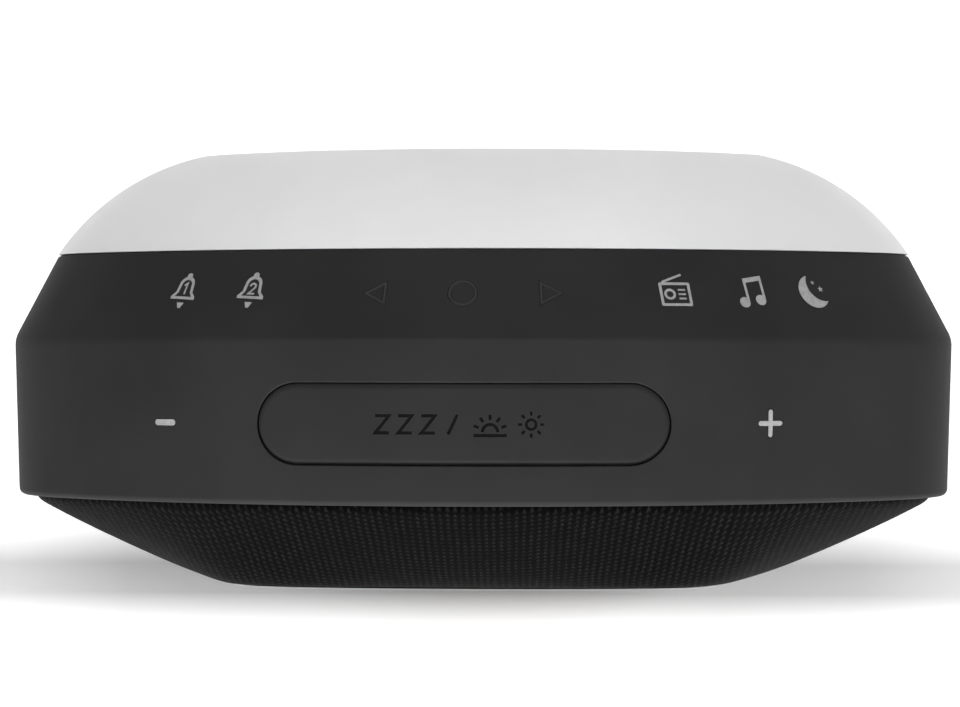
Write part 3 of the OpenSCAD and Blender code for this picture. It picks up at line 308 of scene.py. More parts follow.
# Solids whose shape is right as it stands, by finish
CARRIED = {
    "case": ["minus_key", "plus_key", "alarm_1_key", "alarm_2_key", "previous_key", "play_key", "next_key",
             "radio_key", "source_key", "sleep_key"],
    "inner": ["baffle", "key_carrier", "grille_frame", "left_driver_frame", "right_driver_frame"],
    "rubber": ["driver_gaskets"],
    "foam": ["left_driver_surround", "right_driver_surround"],
    "cone": ["left_driver_cone", "right_driver_cone"],
    "magnet": ["left_driver_magnet", "right_driver_magnet", "coin_cell"],
    "display": ["display_panel"],
    "green_board": ["display_board", "main_board"],
    "white_board": ["light_board"],
    "light_chip": ["light_chips"],
    "white": ["light_reflector"],
    "resin": ["processor", "amplifier"],
    "sheet": ["radio_shield", "usb_sockets"],
    "can": ["capacitors"],
    "socket": ["dc_jack", "aux_socket"],
    "holder": ["cell_holder"],
    "switch": ["key_switches"],
    "flex": ["key_circuit"],
    "flat_cable": ["display_ribbon", "key_ribbon"],
    "lead": ["driver_leads", "light_lead"],
    "outer_screws": ["rear_screws", "base_screws"],
    "inner_screws": ["baffle_screws", "driver_screws", "board_screws", "carrier_screws", "light_screws"],
}
for kind, names in CARRIED.items():
    for name in names:
        slots = nodes[name].material_slots
        for k in range(len(slots)):
            slots[k].link = "OBJECT"
            slots[k].material = M[kind]


# ---- Shape helpers ----

def added(name, data):
    """An object in the scene that holds a mesh, lamp or camera."""
    made = bpy.data.objects.new(name, data)
    bpy.context.scene.collection.objects.link(made)
    return made


def shade(bm, sharp):
    """Smooth shading, but for edges that turn more than sharp degrees."""
    for face in bm.faces:
        face.smooth = True
    for edge in bm.edges:
        edge.smooth = edge.calc_face_angle(0) < radians(sharp)


def piece(name, bm, kind, body="case", replaces=(), sharp=SHARP):
    """Makes an object from a mesh in millimetres, which rides a body and may stand for some nodes."""
    bmesh.ops.remove_doubles(bm, verts=bm.verts, dist=1e-4)
    bmesh.ops.recalc_face_normals(bm, faces=bm.faces)
    shade(bm, sharp)
    bmesh.ops.scale(bm, vec=(MM,) * 3, verts=bm.verts)
    mesh = bpy.data.meshes.new(name)
    bm.to_mesh(mesh)
    bm.free()
    made = added(name, mesh)
    mesh.materials.append(M[kind])
    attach(made, body)
    if replaces:
        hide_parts(*replaces)
    return made


def softened(name, node, width, kind):
    """A copy of a node's solid with its edges rounded."""
    bm = bmesh.new()
    bm.from_mesh(nodes[node].data)
    bmesh.ops.scale(bm, vec=(1 / MM,) * 3, verts=bm.verts)
    bmesh.ops.remove_doubles(bm, verts=bm.verts, dist=0.002)
    bmesh.ops.dissolve_limit(bm, angle_limit=radians(0.5), verts=bm.verts, edges=bm.edges)
    edges = [e for e in bm.edges if e.is_manifold and e.calc_face_angle() > radians(35)]
    bmesh.ops.bevel(bm, geom=edges, offset=width, offset_type="OFFSET", segments=2, profile=0.5,
                    affect="EDGES", clamp_overlap=True, material=-1)
    return piece(name, bm, kind, replaces=[node], sharp=30)


def arc(x, y, r, a0, a1, n):
    """Points on an arc, its angles in degrees."""
    return [(x + r * cos(radians(a0 + (a1 - a0) * k / n)), y + r * sin(radians(a0 + (a1 - a0) * k / n)))
            for k in range(n + 1)]


def disc(x, y, r, n=32):
    """A circle as an anticlockwise loop."""
    return arc(x, y, r, 0, 360, n)[:-1]


def rounded(corners, n=5):
    """A closed outline from (x, y, radius) corners."""
    out = []
    for k, (x, y, r) in enumerate(corners):
        p = Vector((x, y))
        if r <= 0:
            out.append((x, y))
            continue
        a = (Vector(corners[k - 1][:2]) - p).normalized()
        b = (Vector(corners[(k + 1) % len(corners)][:2]) - p).normalized()
        half = a.angle(b) / 2
        c = p + (a + b).normalized() * (r / sin(half))
        s, e = p + a * (r / tan(half)) - c, p + b * (r / tan(half)) - c
        start = atan2(s.y, s.x)
        turn = (atan2(e.y, e.x) - start + pi) % (2 * pi) - pi
        out += [(c.x + r * cos(start + turn * t / n), c.y + r * sin(start + turn * t / n))
                for t in range(n + 1)]
    return out


def grown(loop, d):
    """An anticlockwise loop moved outwards by d; a clockwise hole then shrinks."""
    out = []
    for k, p in enumerate(loop):
        a, b = Vector(loop[k - 1]), Vector(loop[(k + 1) % len(loop)])
        p = Vector(p)
        u, v = (p - a).normalized(), (b - p).normalized()
        side = Vector((u.y + v.y, -u.x - v.x)).normalized()
        out.append(tuple(p + side * d / max(0.35, side.dot(Vector((u.y, -u.x))))))
    return out


def stroke(points, width):
    """An open line drawn with a pen of some width, as an anticlockwise loop."""
    sides = [[], []]
    for k, p in enumerate(points):
        p = Vector(p)
        u = (p - Vector(points[k - 1])).normalized() if k else None
        v = (Vector(points[k + 1]) - p).normalized() if k < len(points) - 1 else u
        u = u or v
        side = Vector((u.y + v.y, -u.x - v.x)).normalized()
        reach = width / 2 / max(0.45, side.dot(Vector((u.y, -u.x))))
        sides[0].append(tuple(p + side * reach))
        sides[1].append(tuple(p - side * reach))
    return sides[0] + sides[1][::-1]


# Points of the arch on each side: leg, corner and crown
LEG_N, CORNER_N, CROWN_N = 10, 24, 32
MIDDLE = LEG_N + CORNER_N + CROWN_N


def station(k, d, zb):
    """Point k of the arch moved inwards by d: 0 is the right foot, at height zb, MIDDLE the crown, and twice
    that the left foot."""
    if k > MIDDLE:
        x, z = station(2 * MIDDLE - k, d, zb)
        return -x, z
    r = CORNER_R - d
    if k < LEG_N:
        z = zb + (CORNER_Z - r * sin(LEG) - zb) * k / LEG_N
        return CORNER_X + r / cos(LEG) - (CORNER_Z - z) * tan(LEG), z
    if k < LEG_N + CORNER_N:
        t = (pi / 2 - CROWN + LEG) * (k - LEG_N) / CORNER_N - LEG
        return CORNER_X + r * cos(t), CORNER_Z + r * sin(t)
    t = CROWN * (MIDDLE - k) / CROWN_N
    return (TOP_R - d) * sin(t), TOP_Z + (TOP_R - d) * cos(t)


def sideness(k):
    """0 at the middle of the crown, rising smoothly to 1 where the corners start."""
    t = min(1, abs(k - MIDDLE) / CROWN_N)
    return t * t * (3 - 2 * t)


def band(bm, a, b):
    """Faces between two closed rows of vertices."""
    n = len(a)
    for k in range(n):
        bm.faces.new((a[k], a[(k + 1) % n], b[(k + 1) % n], b[k]))


def sweep(section):
    """Sweeps a closed (inset, y) section round the arch; section(t) may change with the sideness t."""
    bm = bmesh.new()
    rows = []
    for k in range(2 * MIDDLE + 1):
        row = []
        for d, y in section(sideness(k)):
            x, z = station(k, d, BASE_Z)
            row.append(bm.verts.new((x, y, z)))
        rows.append(row)
    n = len(rows[0])
    for a, b in zip(rows, rows[1:]):
        for j in range(n):
            bm.faces.new((a[j], b[j], b[(j + 1) % n], a[(j + 1) % n]))
    bm.faces.new(rows[0])
    bm.faces.new(rows[-1][::-1])
    return bm


def inset_at(y):
    """How far the skin is set in from the arch at some depth."""
    return FRONT_INSET * (Y_CREASE - y) / (Y_CREASE - Y_BAND) if y < Y_CREASE \
        else SEAM_INSET * (y - Y_CREASE) / (Y_SEAM - Y_CREASE)


def key_frame(a, s):
    """The frame of a key at angle a and s behind the crease: x round the crown, y up the slope, z out."""
    if s < 0:
        inset, y, tilt = FRONT_INSET * -s / (Y_CREASE - Y_BAND), Y_CREASE + s, FRONT_SLOPE
    else:
        inset, y, tilt = s * sin(SLOPE), Y_CREASE + s * cos(SLOPE), -SLOPE
    return (Matrix.Translation((0, 0, TOP_Z)) @ Matrix.Rotation(radians(a), 4, "Y")
            @ Matrix.Translation((0, y, TOP_R - inset)) @ Matrix.Rotation(tilt, 4, "X"))


def on_key(place):
    """A function that lays a key's flat point on the skin, raised by lift."""
    local = key_frame(*place)

    def lay(x, y, lift):
        h = 0.0
        for _ in range(5):
            p = local @ Vector((x, y, h))
            h -= (hypot(p.x, p.z - TOP_Z) - TOP_R + inset_at(p.y)) * cos(SLOPE)
        return local @ Vector((x, y, h + lift))
    return lay


def on_bar(x, y, lift):
    """A point above the skin, straight up."""
    r = TOP_R - inset_at(y)
    return Vector((x, y, TOP_Z + sqrt(r * r - x * x) + lift))


def mark(bm, loops, lay, lift, bevel, root=-0.04, closed=False):
    """Raises a flat shape from a surface: an anticlockwise outer loop, then clockwise holes. The underside
    stays open unless closed is set."""
    flat = bmesh.new()
    rims = [[], []]
    for loop in loops:
        low = [flat.verts.new((x, y, root)) for x, y in loop]
        high = [flat.verts.new((x, y, lift)) for x, y in grown(loop, -bevel)]
        for k in range(len(loop)):
            flat.faces.new((low[k - 1], low[k], high[k], high[k - 1]))
            for rim, row in zip(rims, (high, low)):
                rim.append(flat.edges.get((row[k - 1], row[k])))
    for rim in rims[:1 + closed]:
        bmesh.ops.triangle_fill(flat, use_beauty=True, edges=rim, normal=(0, 0, 1))
    # Cut across at every millimetre, so that it can follow the curve of the skin
    xs = [v.co.x for v in flat.verts]
    for x in range(ceil(min(xs)), floor(max(xs)) + 1):
        bmesh.ops.bisect_plane(flat, geom=flat.verts[:] + flat.edges[:] + flat.faces[:], dist=1e-5,
                               plane_co=(x + 0.013, 0, 0), plane_no=(1, 0, 0))
    for v in flat.verts:
        v.co = lay(*v.co)
    mesh = bpy.data.meshes.new("flat")
    flat.to_mesh(mesh)
    flat.free()
    bm.from_mesh(mesh)
    bpy.data.meshes.remove(mesh)


def prism(bm, loop, local, z0, z1):
    """A flat loop drawn out between two heights of a frame."""
    low, high = ([bm.verts.new(local @ Vector((x, y, z))) for x, y in loop] for z in (z0, z1))
    for k in range(len(loop)):
        bm.faces.new((low[k - 1], low[k], high[k], high[k - 1]))
    bm.faces.new(low[::-1])
    bm.faces.new(high)


def rod(bm, local, z0, z1, r):
    """A round post or stem along the z axis of a frame."""
    bmesh.ops.create_cone(bm, cap_ends=True, segments=32, radius1=r, radius2=r, depth=z1 - z0,
                          matrix=local @ Matrix.Translation((0, 0, (z0 + z1) / 2)))


TIP_N, SIDE_N = 10, 44


def stadium(off):
    """Half of the bar's outline moved outwards by off, from its right tip over the back to its left tip."""
    r, x = BAR_B / 2 + off, (BAR_L - BAR_B) / 2
    side = [(x - 2 * x * k / SIDE_N, r) for k in range(1, SIDE_N)]
    return arc(x, 0, r, 0, 90, TIP_N) + side + arc(-x, 0, r, 90, 180, TIP_N)


def bar_stack(bm, rings):
    """Closed skin through rings of the bar's outline, each (offset, lift above the case's skin)."""
    loops = []
    for off, lift in rings:
        half = stadium(off)
        outline = half + [(x, -y) for x, y in half[-2:0:-1]]
        loops.append([bm.verts.new(on_bar(x, BAR_Y + y, lift)) for x, y in outline])
    for a, b in zip(loops, loops[1:]):
        band(bm, a, b)
    for loop in (loops[0], loops[-1]):
        for k in range(len(half) - 1):
            quad = [loop[k], loop[k + 1], loop[-k - 1], loop[-k]]
            bm.faces.new(list(dict.fromkeys(quad)))


def cut(target, bm):
    """Takes a cutter, made of closed meshes in millimetres, out of an object."""
    bmesh.ops.recalc_face_normals(bm, faces=bm.faces)
    bmesh.ops.scale(bm, vec=(MM,) * 3, verts=bm.verts)
    mesh = bpy.data.meshes.new("cutter")
    bm.to_mesh(mesh)
    bm.free()
    tool = added("cutter", mesh)
    step = target.modifiers.new("cut", "BOOLEAN")
    step.object, step.operation, step.solver, step.use_self = tool, "DIFFERENCE", "EXACT", True
    bpy.context.view_layer.update()
    done = bpy.data.meshes.new_from_object(target.evaluated_get(bpy.context.evaluated_depsgraph_get()))
    target.modifiers.clear()
    old, target.data = target.data, done
    done.name = old.name
    for gone in (old, mesh):
        bpy.data.meshes.remove(gone)
    shaded = bmesh.new()
    shaded.from_mesh(done)
    shade(shaded, SHARP)
    shaded.to_mesh(done)
    shaded.free()


# ---- Symbols, drawn flat: x across and y up the slope ----

# The moon's key: its circle, and the place and radius of the circle taken out of it
MOON_R, BITE, BITE_R = 3.6, (2.3, 1.5), 3.35
BELL_LEAN = radians(-3.5)


def crescent():
    """The moon's circle less the other one."""
    (x, y), a, b = BITE, MOON_R, BITE_R
    d = hypot(x, y)
    along = (d * d + a * a - b * b) / (2 * d)
    mid = atan2(y, x)
    wide, inner = (atan2(sqrt(a * a - along * along), c) for c in (along, along - d))
    deg = 180 / pi
    return (arc(0, 0, a, (mid + wide) * deg, (mid - wide) * deg + 360, 40)
            + arc(x, y, b, (mid - inner) * deg + 360, (mid + inner) * deg, 32)[1:-1])


def leaning(loop):
    """A loop of the bell, turned about its key's centre."""
    c, s = cos(BELL_LEAN), sin(BELL_LEAN)
    return [(x * c - y * s, x * s + y * c) for x, y in loop]


def pill(l, w, upright=False):
    """A bar with round ends."""
    loop = arc((l - w) / 2, 0, w / 2, -90, 90, 12) + arc((w - l) / 2, 0, w / 2, 90, 270, 12)
    return [(-y, x) for x, y in loop] if upright else loop


BELL = leaning([(-2.85, -1.7), (2.85, -1.7), (2.85, -1.05), (2, -0.1)] + arc(0, 1.4, 1.8, 0, 180, 20)
               + [(-2, -0.1), (-2.85, -1.05)])
TRIANGLE = [(-2.25, 0), (2.25, -2.6), (2.25, 2.6)]
MIRRORED = [(-x, y) for x, y in TRIANGLE[::-1]]
ROUND = disc(0, 0, PLAY_R, 72)


def cross(l, w):
    """A plus sign whose arms have round ends."""
    r = w / 2
    arm = [(r, -r)] + arc((l - w) / 2, 0, r, -90, 90, 12) + [(r, r)]
    turns = ((1, 0), (0, 1), (-1, 0), (0, -1))
    return [(x * c - y * s, x * s + y * c) for c, s in turns for x, y in arm[:-1]]


NOTE = [(-1.1, -2.3), (-0.45, -2.3), (-0.45, 1.7), (2.4, 2.2), (2.4, -1.8), (3.05, -1.8), (3.05, 3.4),
        (-1.1, 2.7)]
CLAPPER = [(-0.9, -2.3), (-0.35, -3.6), (0.35, -3.6), (0.9, -2.3)]
BELL_CAP = [BELL, leaning(disc(0, 3.25, 0.65)), leaning([(-0.9, -1.6)] + CLAPPER + [(0.9, -1.6)])]

# The keys' caps, as loops that may overlap
CAPS = {
    "minus_key": [pill(4.8, 1.3)],
    "plus_key": [pill(5.4, 1.15), pill(5.4, 1.15, True)],
    "alarm_1_key": BELL_CAP, "alarm_2_key": BELL_CAP,
    "previous_key": [TRIANGLE], "play_key": [ROUND], "next_key": [MIRRORED],
    "radio_key": [[(-3.1, -3.2), (3.1, -3.2), (3.1, 1.8), (-3.1, 1.8)],
                  [(-3.1, 1.7), (-1, 1.7), (1.9, 3), (1.6, 3.7)]],
    "source_key": [disc(-1.6, -2.3, 1.15), disc(1.9, -1.8, 1.15), NOTE],
    "sleep_key": [crescent()],
}


def star(x, y, r):
    """A star with five points."""
    return [(x + q * cos(pi / 2 + k * pi / 5), y + q * sin(pi / 2 + k * pi / 5))
            for k, q in enumerate([r, 0.42 * r] * 5)]


def ring(loop, width):
    """A loop and the hole inside it."""
    return [loop, grown(loop, -width)[::-1]]


# Printed parts of the marks, each an outer loop and its holes
BELL_RING = [grown(BELL, -0.05), leaning([(-1.95, -1.05), (1.95, -1.05), (1.35, -0.25)]
             + arc(0, 1.3, 1.12, 0, 180, 16) + [(-1.35, -0.25)])[::-1]]
BELL_PARTS = [BELL_RING, [leaning(disc(0, 3.28, 0.6))], [leaning(rounded(
    [(-0.84, -2.32, 0.1), (-0.3, -3.54, 0.15), (0.3, -3.54, 0.15), (0.84, -2.32, 0.1)]))]]
ONE = leaning(stroke([(-0.5, 1.2), (0.1, 1.7), (0.1, -0.6)], 0.42))
TWO = leaning(stroke([(-0.6, 0.9), (-0.45, 1.32), (0, 1.54), (0.46, 1.32), (0.54, 0.9), (0.3, 0.45),
                      (-0.6, -0.58), (0.66, -0.58)], 0.42))


def frame_loop(x0, y0, x1, y1, r):
    """A rectangle between two corners, with rounded corners of its own."""
    return rounded([(x0, y0, r), (x1, y0, r), (x1, y1, r), (x0, y1, r)])


# The moon is a little slimmer than its cap and its tips are blunt
MOON = arc(0.1, 0.05, 3.42, 104, 322, 48) + arc(2.3, 1.5, 3.42, 277.5, 149, 36)
PRINTS = {
    "minus_key": [[pill(4.72, 1.16)]],
    "plus_key": [[cross(5.12, 0.94)]],
    "alarm_1_key": BELL_PARTS + [[ONE]],
    "alarm_2_key": BELL_PARTS + [[TWO]],
    "radio_key": [[frame_loop(-3.06, -3.16, 3.06, 1.76, 0.3),
                   frame_loop(-2.48, -2.58, 2.48, 1.18, 0.1)[::-1]],
                  [disc(-1.1, -0.7, 1.15), disc(-1.1, -0.7, 0.62)[::-1]]]
                 + [[stroke([(0.55, y), (2.0, y)], 0.4)] for y in (0.2, -0.7, -1.6)]
                 + [[stroke([(-2.3, 1.82), (1.68, 3.36)], 0.46)]],
    "source_key": [[grown(loop, -0.05)] for loop in CAPS["source_key"]],
    "sleep_key": [[MOON]],
}


# ---- Case ----

def case_section(t):
    """Rim, skin, front shelf and rear ledge. The crease is crisp at the crown and softer at the sides."""
    inner = WALL / cos(SLOPE)
    seam = SEAM_INSET * (Y_CASE_END - Y_CREASE) / (Y_SEAM - Y_CREASE)
    slope_in = [SEAM_INSET * (y - Y_CREASE) / (Y_SEAM - Y_CREASE) + inner for y in (BOARD_Y, LEDGE_Y)]
    return rounded([
        (FRONT_INSET, Y_BAND, RIM_ROUND), (0, Y_CREASE, CREASE_ROUND + CREASE_SOFTER * t),
        (seam, Y_CASE_END, SEAM_ROUND),
        (seam + inner, Y_CASE_END, 0), (slope_in[0], BOARD_Y, 0), (LEDGE_INSET, BOARD_Y, 0),
        (LEDGE_INSET, LEDGE_Y, 0), (slope_in[1], LEDGE_Y, 0), (WALL, Y_CREASE - WALL * tan(SLOPE / 2), 0),
        (WALL + FRONT_INSET, SHELF_Y + SHELF_T, 0), (SHELF_INSET, SHELF_Y + SHELF_T, 0),
        (SHELF_INSET, SHELF_Y, 0), (RIM_INSET, SHELF_Y, 0), (RIM_INSET, Y_BAND + 1.1, LIP_ROUND)], 6)


# Gap round a key, the edge of the bar's opening, and the bar's own edge: how wide it is and how far it drops
KEY_GAP, EDGE, BAR_ROUND, BAR_DROP = 0.07, 0.25, 1.15, 0.9

case = piece("case_shell", sweep(case_section), "case", replaces=["housing"])
cutter = bmesh.new()
for name, loops in CAPS.items():
    for loop in loops:
        prism(cutter, grown(loop, KEY_GAP), key_frame(*KEYS[name]), -FLANGE_D - 1, 2)
bar_stack(cutter, [(BAR_GAP + EDGE + 0.3, 0.4), (BAR_GAP + EDGE + 0.02, 0.02)]
          + [(BAR_GAP + EDGE * (1 - sin(t)), -EDGE * (1 - cos(t))) for t in (0.35, 0.7, 1.05, 1.3, pi / 2)]
          + [(BAR_GAP, -9)])
cut(case, cutter)

# What the keys' carrier and the base cover are screwed to
posts = bmesh.new()
for place in POSTS:
    rod(posts, key_frame(*place), -CARRIER_D, -WALL / 2, POST_R)
for x, y in BASE_POSTS:
    rod(posts, Matrix.Translation((x, y, BASE_Z)), 0, BASE_POST_H, BASE_POST_R)
    reach = station(0, inset_at(y) + WALL / 2, BASE_Z)[0] - abs(x)
    side = 1 if x > 0 else -1
    prism(posts, [(0, -1), (reach * side, -1), (reach * side, 1), (0, 1)][::side],
          Matrix.Translation((x, y, BASE_Z)), 0, RIB_H)
piece("case_posts", posts, "case", sharp=30)

# Snooze bar: a crowned cap with a rounded edge, its flange and two stems
bar = bmesh.new()
bar_stack(bar, [(-BAR_ROUND * (1 - sin(t)), -BAR_DROP * (1 - cos(t)))
                for t in (0, 0.2, 0.4, 0.65, 0.9, 1.15, 1.4, pi / 2)]
          + [(0, -FLANGE_D), (BAR_FLANGE, -FLANGE_D), (BAR_FLANGE, -FLANGE_D - FLANGE_T)])
for a in (-STEM_A, STEM_A):
    rod(bar, key_frame(a, FRONT_ROW), -STEM_D, -FLANGE_D - FLANGE_T / 2, STEM_R)
snooze = piece("snooze_cap", bar, "case", body="snooze_bar", replaces=["snooze_bar"])


def around(centre, angles, r0, r1, width):
    """Short rays from one radius to another."""
    x, y = centre
    return [[stroke([(x + r * cos(radians(a)), y + r * sin(radians(a))) for r in (r0, r1)], width)]
            for a in angles]


# Marks sunk into the bar, with floors painted dark as painted shade: three sleep signs, a stroke, a rising
# sun and a full one
SUNK, FLOOR_AT = 0.24, 0.2
SIGN = [(-1.25, 1.55), (1.25, 1.55), (-1.25, -1.55), (1.25, -1.55)]
RISING, FULL = (5.2, BAR_Y - 1.4), (12.6, BAR_Y)
SIGNS = ([[stroke([(x + u, BAR_Y + v) for u, v in SIGN], 0.62)] for x in (-14.4, -10.2, -6.0)]
         + [[stroke([(-2.4, BAR_Y - 1.8), (-0.7, BAR_Y + 1.8)], 0.6)],
            [stroke(arc(*RISING, 1.4, 0, 180, 16), 0.6)],
            [stroke([(RISING[0] - 3, RISING[1] - 0.6), (RISING[0] + 3, RISING[1] - 0.6)], 0.6)]]
         + around(RISING, (22, 56, 90, 124, 158), 2.2, 3.2, 0.55)
         + [[disc(*FULL, 1.15), disc(*FULL, 0.6)[::-1]]] + around(FULL, range(0, 360, 45), 1.6, 2.4, 0.5))
cutter, floors = bmesh.new(), bmesh.new()
for loops in SIGNS:
    mark(cutter, loops, on_bar, 0.5, 0, -SUNK, True)
    mark(floors, loops, on_bar, -FLOOR_AT, 0, -0.3)
cut(snooze, cutter)
piece("snooze_mark", floors, "sunk", body="snooze_bar", sharp=30)

# Marks of the small keys: grey print, or a raised outline in the case's plastic, painted a little lighter as a
# painted highlight. Loops of one mark may cross, so each lies a hair above the one before it
PRINT_H, PRINT_STEP, PRINT_EDGE = 0.03, 0.001, 0.02
RIDGE_W, RIDGE_H, RIDGE_EDGE = 0.5, 0.24, 0.16
for name, parts in PRINTS.items():
    print_ = bmesh.new()
    for k, loops in enumerate(parts):
        mark(print_, loops, on_key(KEYS[name]), PRINT_H + PRINT_STEP * k, PRINT_EDGE)
    piece(name.replace("key", "mark"), print_, "ink", body=name, sharp=30)
for name, loop in (("previous_key", TRIANGLE), ("play_key", ROUND), ("next_key", MIRRORED)):
    outline = bmesh.new()
    mark(outline, ring(grown(loop, -0.06), RIDGE_W), on_key(KEYS[name]), RIDGE_H, RIDGE_EDGE)
    piece(name.replace("key", "mark"), outline, "ridge", body=name)
stars = bmesh.new()
for x, y, r in ((0.45, 1.95, 0.5), (1.88, 0.62, 0.72)):
    mark(stars, [star(x, y, r)], on_key(KEYS["sleep_key"]), PRINT_H, PRINT_EDGE)
piece("sleep_stars", stars, "ink", sharp=30)


# ---- Light ----

# Roundings of the light's front and back edges, and the seal in the gap: its insets and how far back it goes
LIGHT_ROUND, BACK_ROUND = 0.15, 0.25
SEAL_OUT, SEAL_IN, SEAL_END = 8.98, 11.1, Y_SEAM + 0.5


def light_section(t):
    """The bulging wall, its lip and the seat of the rear panel."""
    dd, dy = BACK_INSET - LIGHT_INSET, Y_BACK - Y_LIGHT
    chord = hypot(dd, dy)
    h = sqrt(LIGHT_R ** 2 - (chord / 2) ** 2)
    cx = (LIGHT_INSET + BACK_INSET) / 2 + h * dy / chord
    cy = (Y_LIGHT + Y_BACK) / 2 - h * dd / chord

    def bulge(r, y0, y1, n):
        a0, a1 = asin((y0 - cy) / r), asin((y1 - cy) / r)
        return [(cx - r * cos(a0 + (a1 - a0) * k / n), cy + r * sin(a0 + (a1 - a0) * k / n))
                for k in range(n + 1)]
    outer = [(x, y, 0) for x, y in bulge(LIGHT_R, Y_LIGHT, Y_BACK, 24)]
    outer[0], outer[-1] = (*outer[0][:2], LIGHT_ROUND), (*outer[-1][:2], BACK_ROUND)
    inside = [(x, y, 0) for x, y in bulge(LIGHT_R - LIGHT_WALL, Y_LIGHT, PANEL_Y - LIP_T, 12)[::-1]]
    return rounded(outer + [(PANEL_SEAT, Y_BACK, 0), (PANEL_SEAT, PANEL_Y, 0), (LIP_INSET, PANEL_Y, 0),
                            (LIP_INSET, PANEL_Y - LIP_T, 0)] + inside, 5)


piece("light_dome", sweep(light_section), "light", replaces=["diffuser"], sharp=20)
seal = sweep(lambda t: [(SEAL_OUT, Y_CASE_END), (SEAL_IN, Y_CASE_END), (SEAL_IN, SEAL_END),
                        (SEAL_OUT, SEAL_END)])
piece("light_seal", seal, "rubber", replaces=["light_gasket"], sharp=30)


# ---- Front ----

# The display window and the crown of its lens up and across
WINDOW_W, WINDOW_H, WINDOW_Z = 92.0, 54.0, 50.0
LENS_RISE_Z, LENS_RISE_X = 0.5, 0.35
# Where the lens's face and flange lie along the depth, and the hollow in its back
FACE_Y, STEP_Y, LENS_BACK_Y, HOLLOW_Y = Y_FRONT + 0.05, -37.5, -36.5, -39.2
# The cloth: inset from the arch, foot and thickness, and the dome from its root to the window
CLOTH_INSET, CLOTH_Z, CLOTH_T = 4.3, 3.6, 0.8
DOME_ROOT, DOME_TIP, DOME_BULGE, DOME_SHOULDER = -25.6, -40.75, 1.8, 12.0
# The cloth rolls over its edge in the first part of the way inwards
ROLL_SHARE, ROLL = 0.035, 0.8
FLOOR_N, CLOTH_N = 48, 40


def dome_outline(t):
    """The cloth's edge, moved inwards by t, closed along the bottom."""
    side = [station(k, CLOTH_INSET + t, CLOTH_Z + t) for k in range(2 * MIDDLE + 1)]
    x = side[0][0]
    return side + [(x * (2 * k / FLOOR_N - 1), CLOTH_Z + t) for k in range(1, FLOOR_N)]


EDGE_POINTS = dome_outline(0)


def window_at(p, grow=0.0):
    """Where a ray from the window's centre towards p meets the window's rounded outline."""
    u, v = p[0], p[1] - WINDOW_Z
    length = hypot(u, v)
    u, v = u / length, v / length
    r = ((abs(u) / (WINDOW_W / 2 + grow)) ** 5 + (abs(v) / (WINDOW_H / 2 + grow)) ** 5) ** -0.2
    return u * r, WINDOW_Z + v * r


def dome_y(w):
    """The dome's place along the depth at share w of the way from the cloth's edge to the window."""
    lip = max(0.0, 1 - w / ROLL_SHARE)
    return (DOME_ROOT + (DOME_TIP - DOME_ROOT) * w - (4 * DOME_BULGE * w + DOME_SHOULDER * w ** 4) * (1 - w)
            + ROLL * (1 - sqrt(max(0, 1 - lip * lip))))


def skin_through(rings):
    """A closed skin through rings of equal count, the last joined to the first."""
    bm = bmesh.new()
    rows = [[bm.verts.new(p) for p in points] for points in rings]
    for a, b in zip(rows, rows[1:] + rows[:1]):
        band(bm, a, b)
    return bm


def cloth_rings(t, steps):
    """Rings of the cloth from its turned edge to the window, t behind its face."""
    edge = dome_outline(t)
    rings = [[(x, SHELF_Y, z) for x, z in edge]]
    for w in steps:
        rings.append([(x + (a - x) * w, dome_y(w) + t, z + (b - z) * w)
                      for (x, z), (a, b) in zip(edge, map(window_at, EDGE_POINTS))])
    return rings


steps = [0, 0.003, 0.009, 0.018, ROLL_SHARE]
steps += [ROLL_SHARE + (1 - ROLL_SHARE) * k / CLOTH_N for k in range(1, CLOTH_N + 1)]
cloth = piece("front_cloth", skin_through(cloth_rings(0, steps) + cloth_rings(CLOTH_T, steps)[::-1]), "cloth",
              replaces=["grille_fabric"], sharp=40)

# Display lens: slightly domed, with a thin proud rim, a glossy face a hair behind it and a hollow back
lens = bmesh.new()


def lens_dome(x, z):
    """How far the lens's face lies behind its foremost point."""
    return LENS_RISE_Z * ((z - WINDOW_Z) / (WINDOW_H / 2)) ** 2 + LENS_RISE_X * (x / (WINDOW_W / 2)) ** 2


def lens_ring(off, y, domed, size=1.0):
    """A row of the lens: the window's outline moved outwards by off or drawn in to a size."""
    row = []
    for p in EDGE_POINTS:
        x, z = window_at(p, off)
        x, z = x * size, WINDOW_Z + (z - WINDOW_Z) * size
        row.append(lens.verts.new((x, y + domed * lens_dome(x, z), z)))
    return row


rings = [lens_ring(-1.15, FACE_Y, 1, size) for size in (0.06, 0.25, 0.45, 0.65, 0.85, 1.0)]
rings += [lens_ring(off, Y_FRONT + y, 1)
          for off, y in [(-0.75, 0), (-0.45, 0.03), (-0.27, 0.12), (-0.2, 0.3)]]
rings += [lens_ring(off, y, 0) for off, y in [(-0.2, STEP_Y), (1, STEP_Y), (1, LENS_BACK_Y),
                                              (-2.7, LENS_BACK_Y), (-2.7, HOLLOW_Y)]]
for a, b in zip(rings, rings[1:]):
    band(lens, a, b)
lens.faces.new(rings[0])
lens.faces.new(rings[-1][::-1])
piece("display_lens", lens, "lens", replaces=["display_window"], sharp=30)

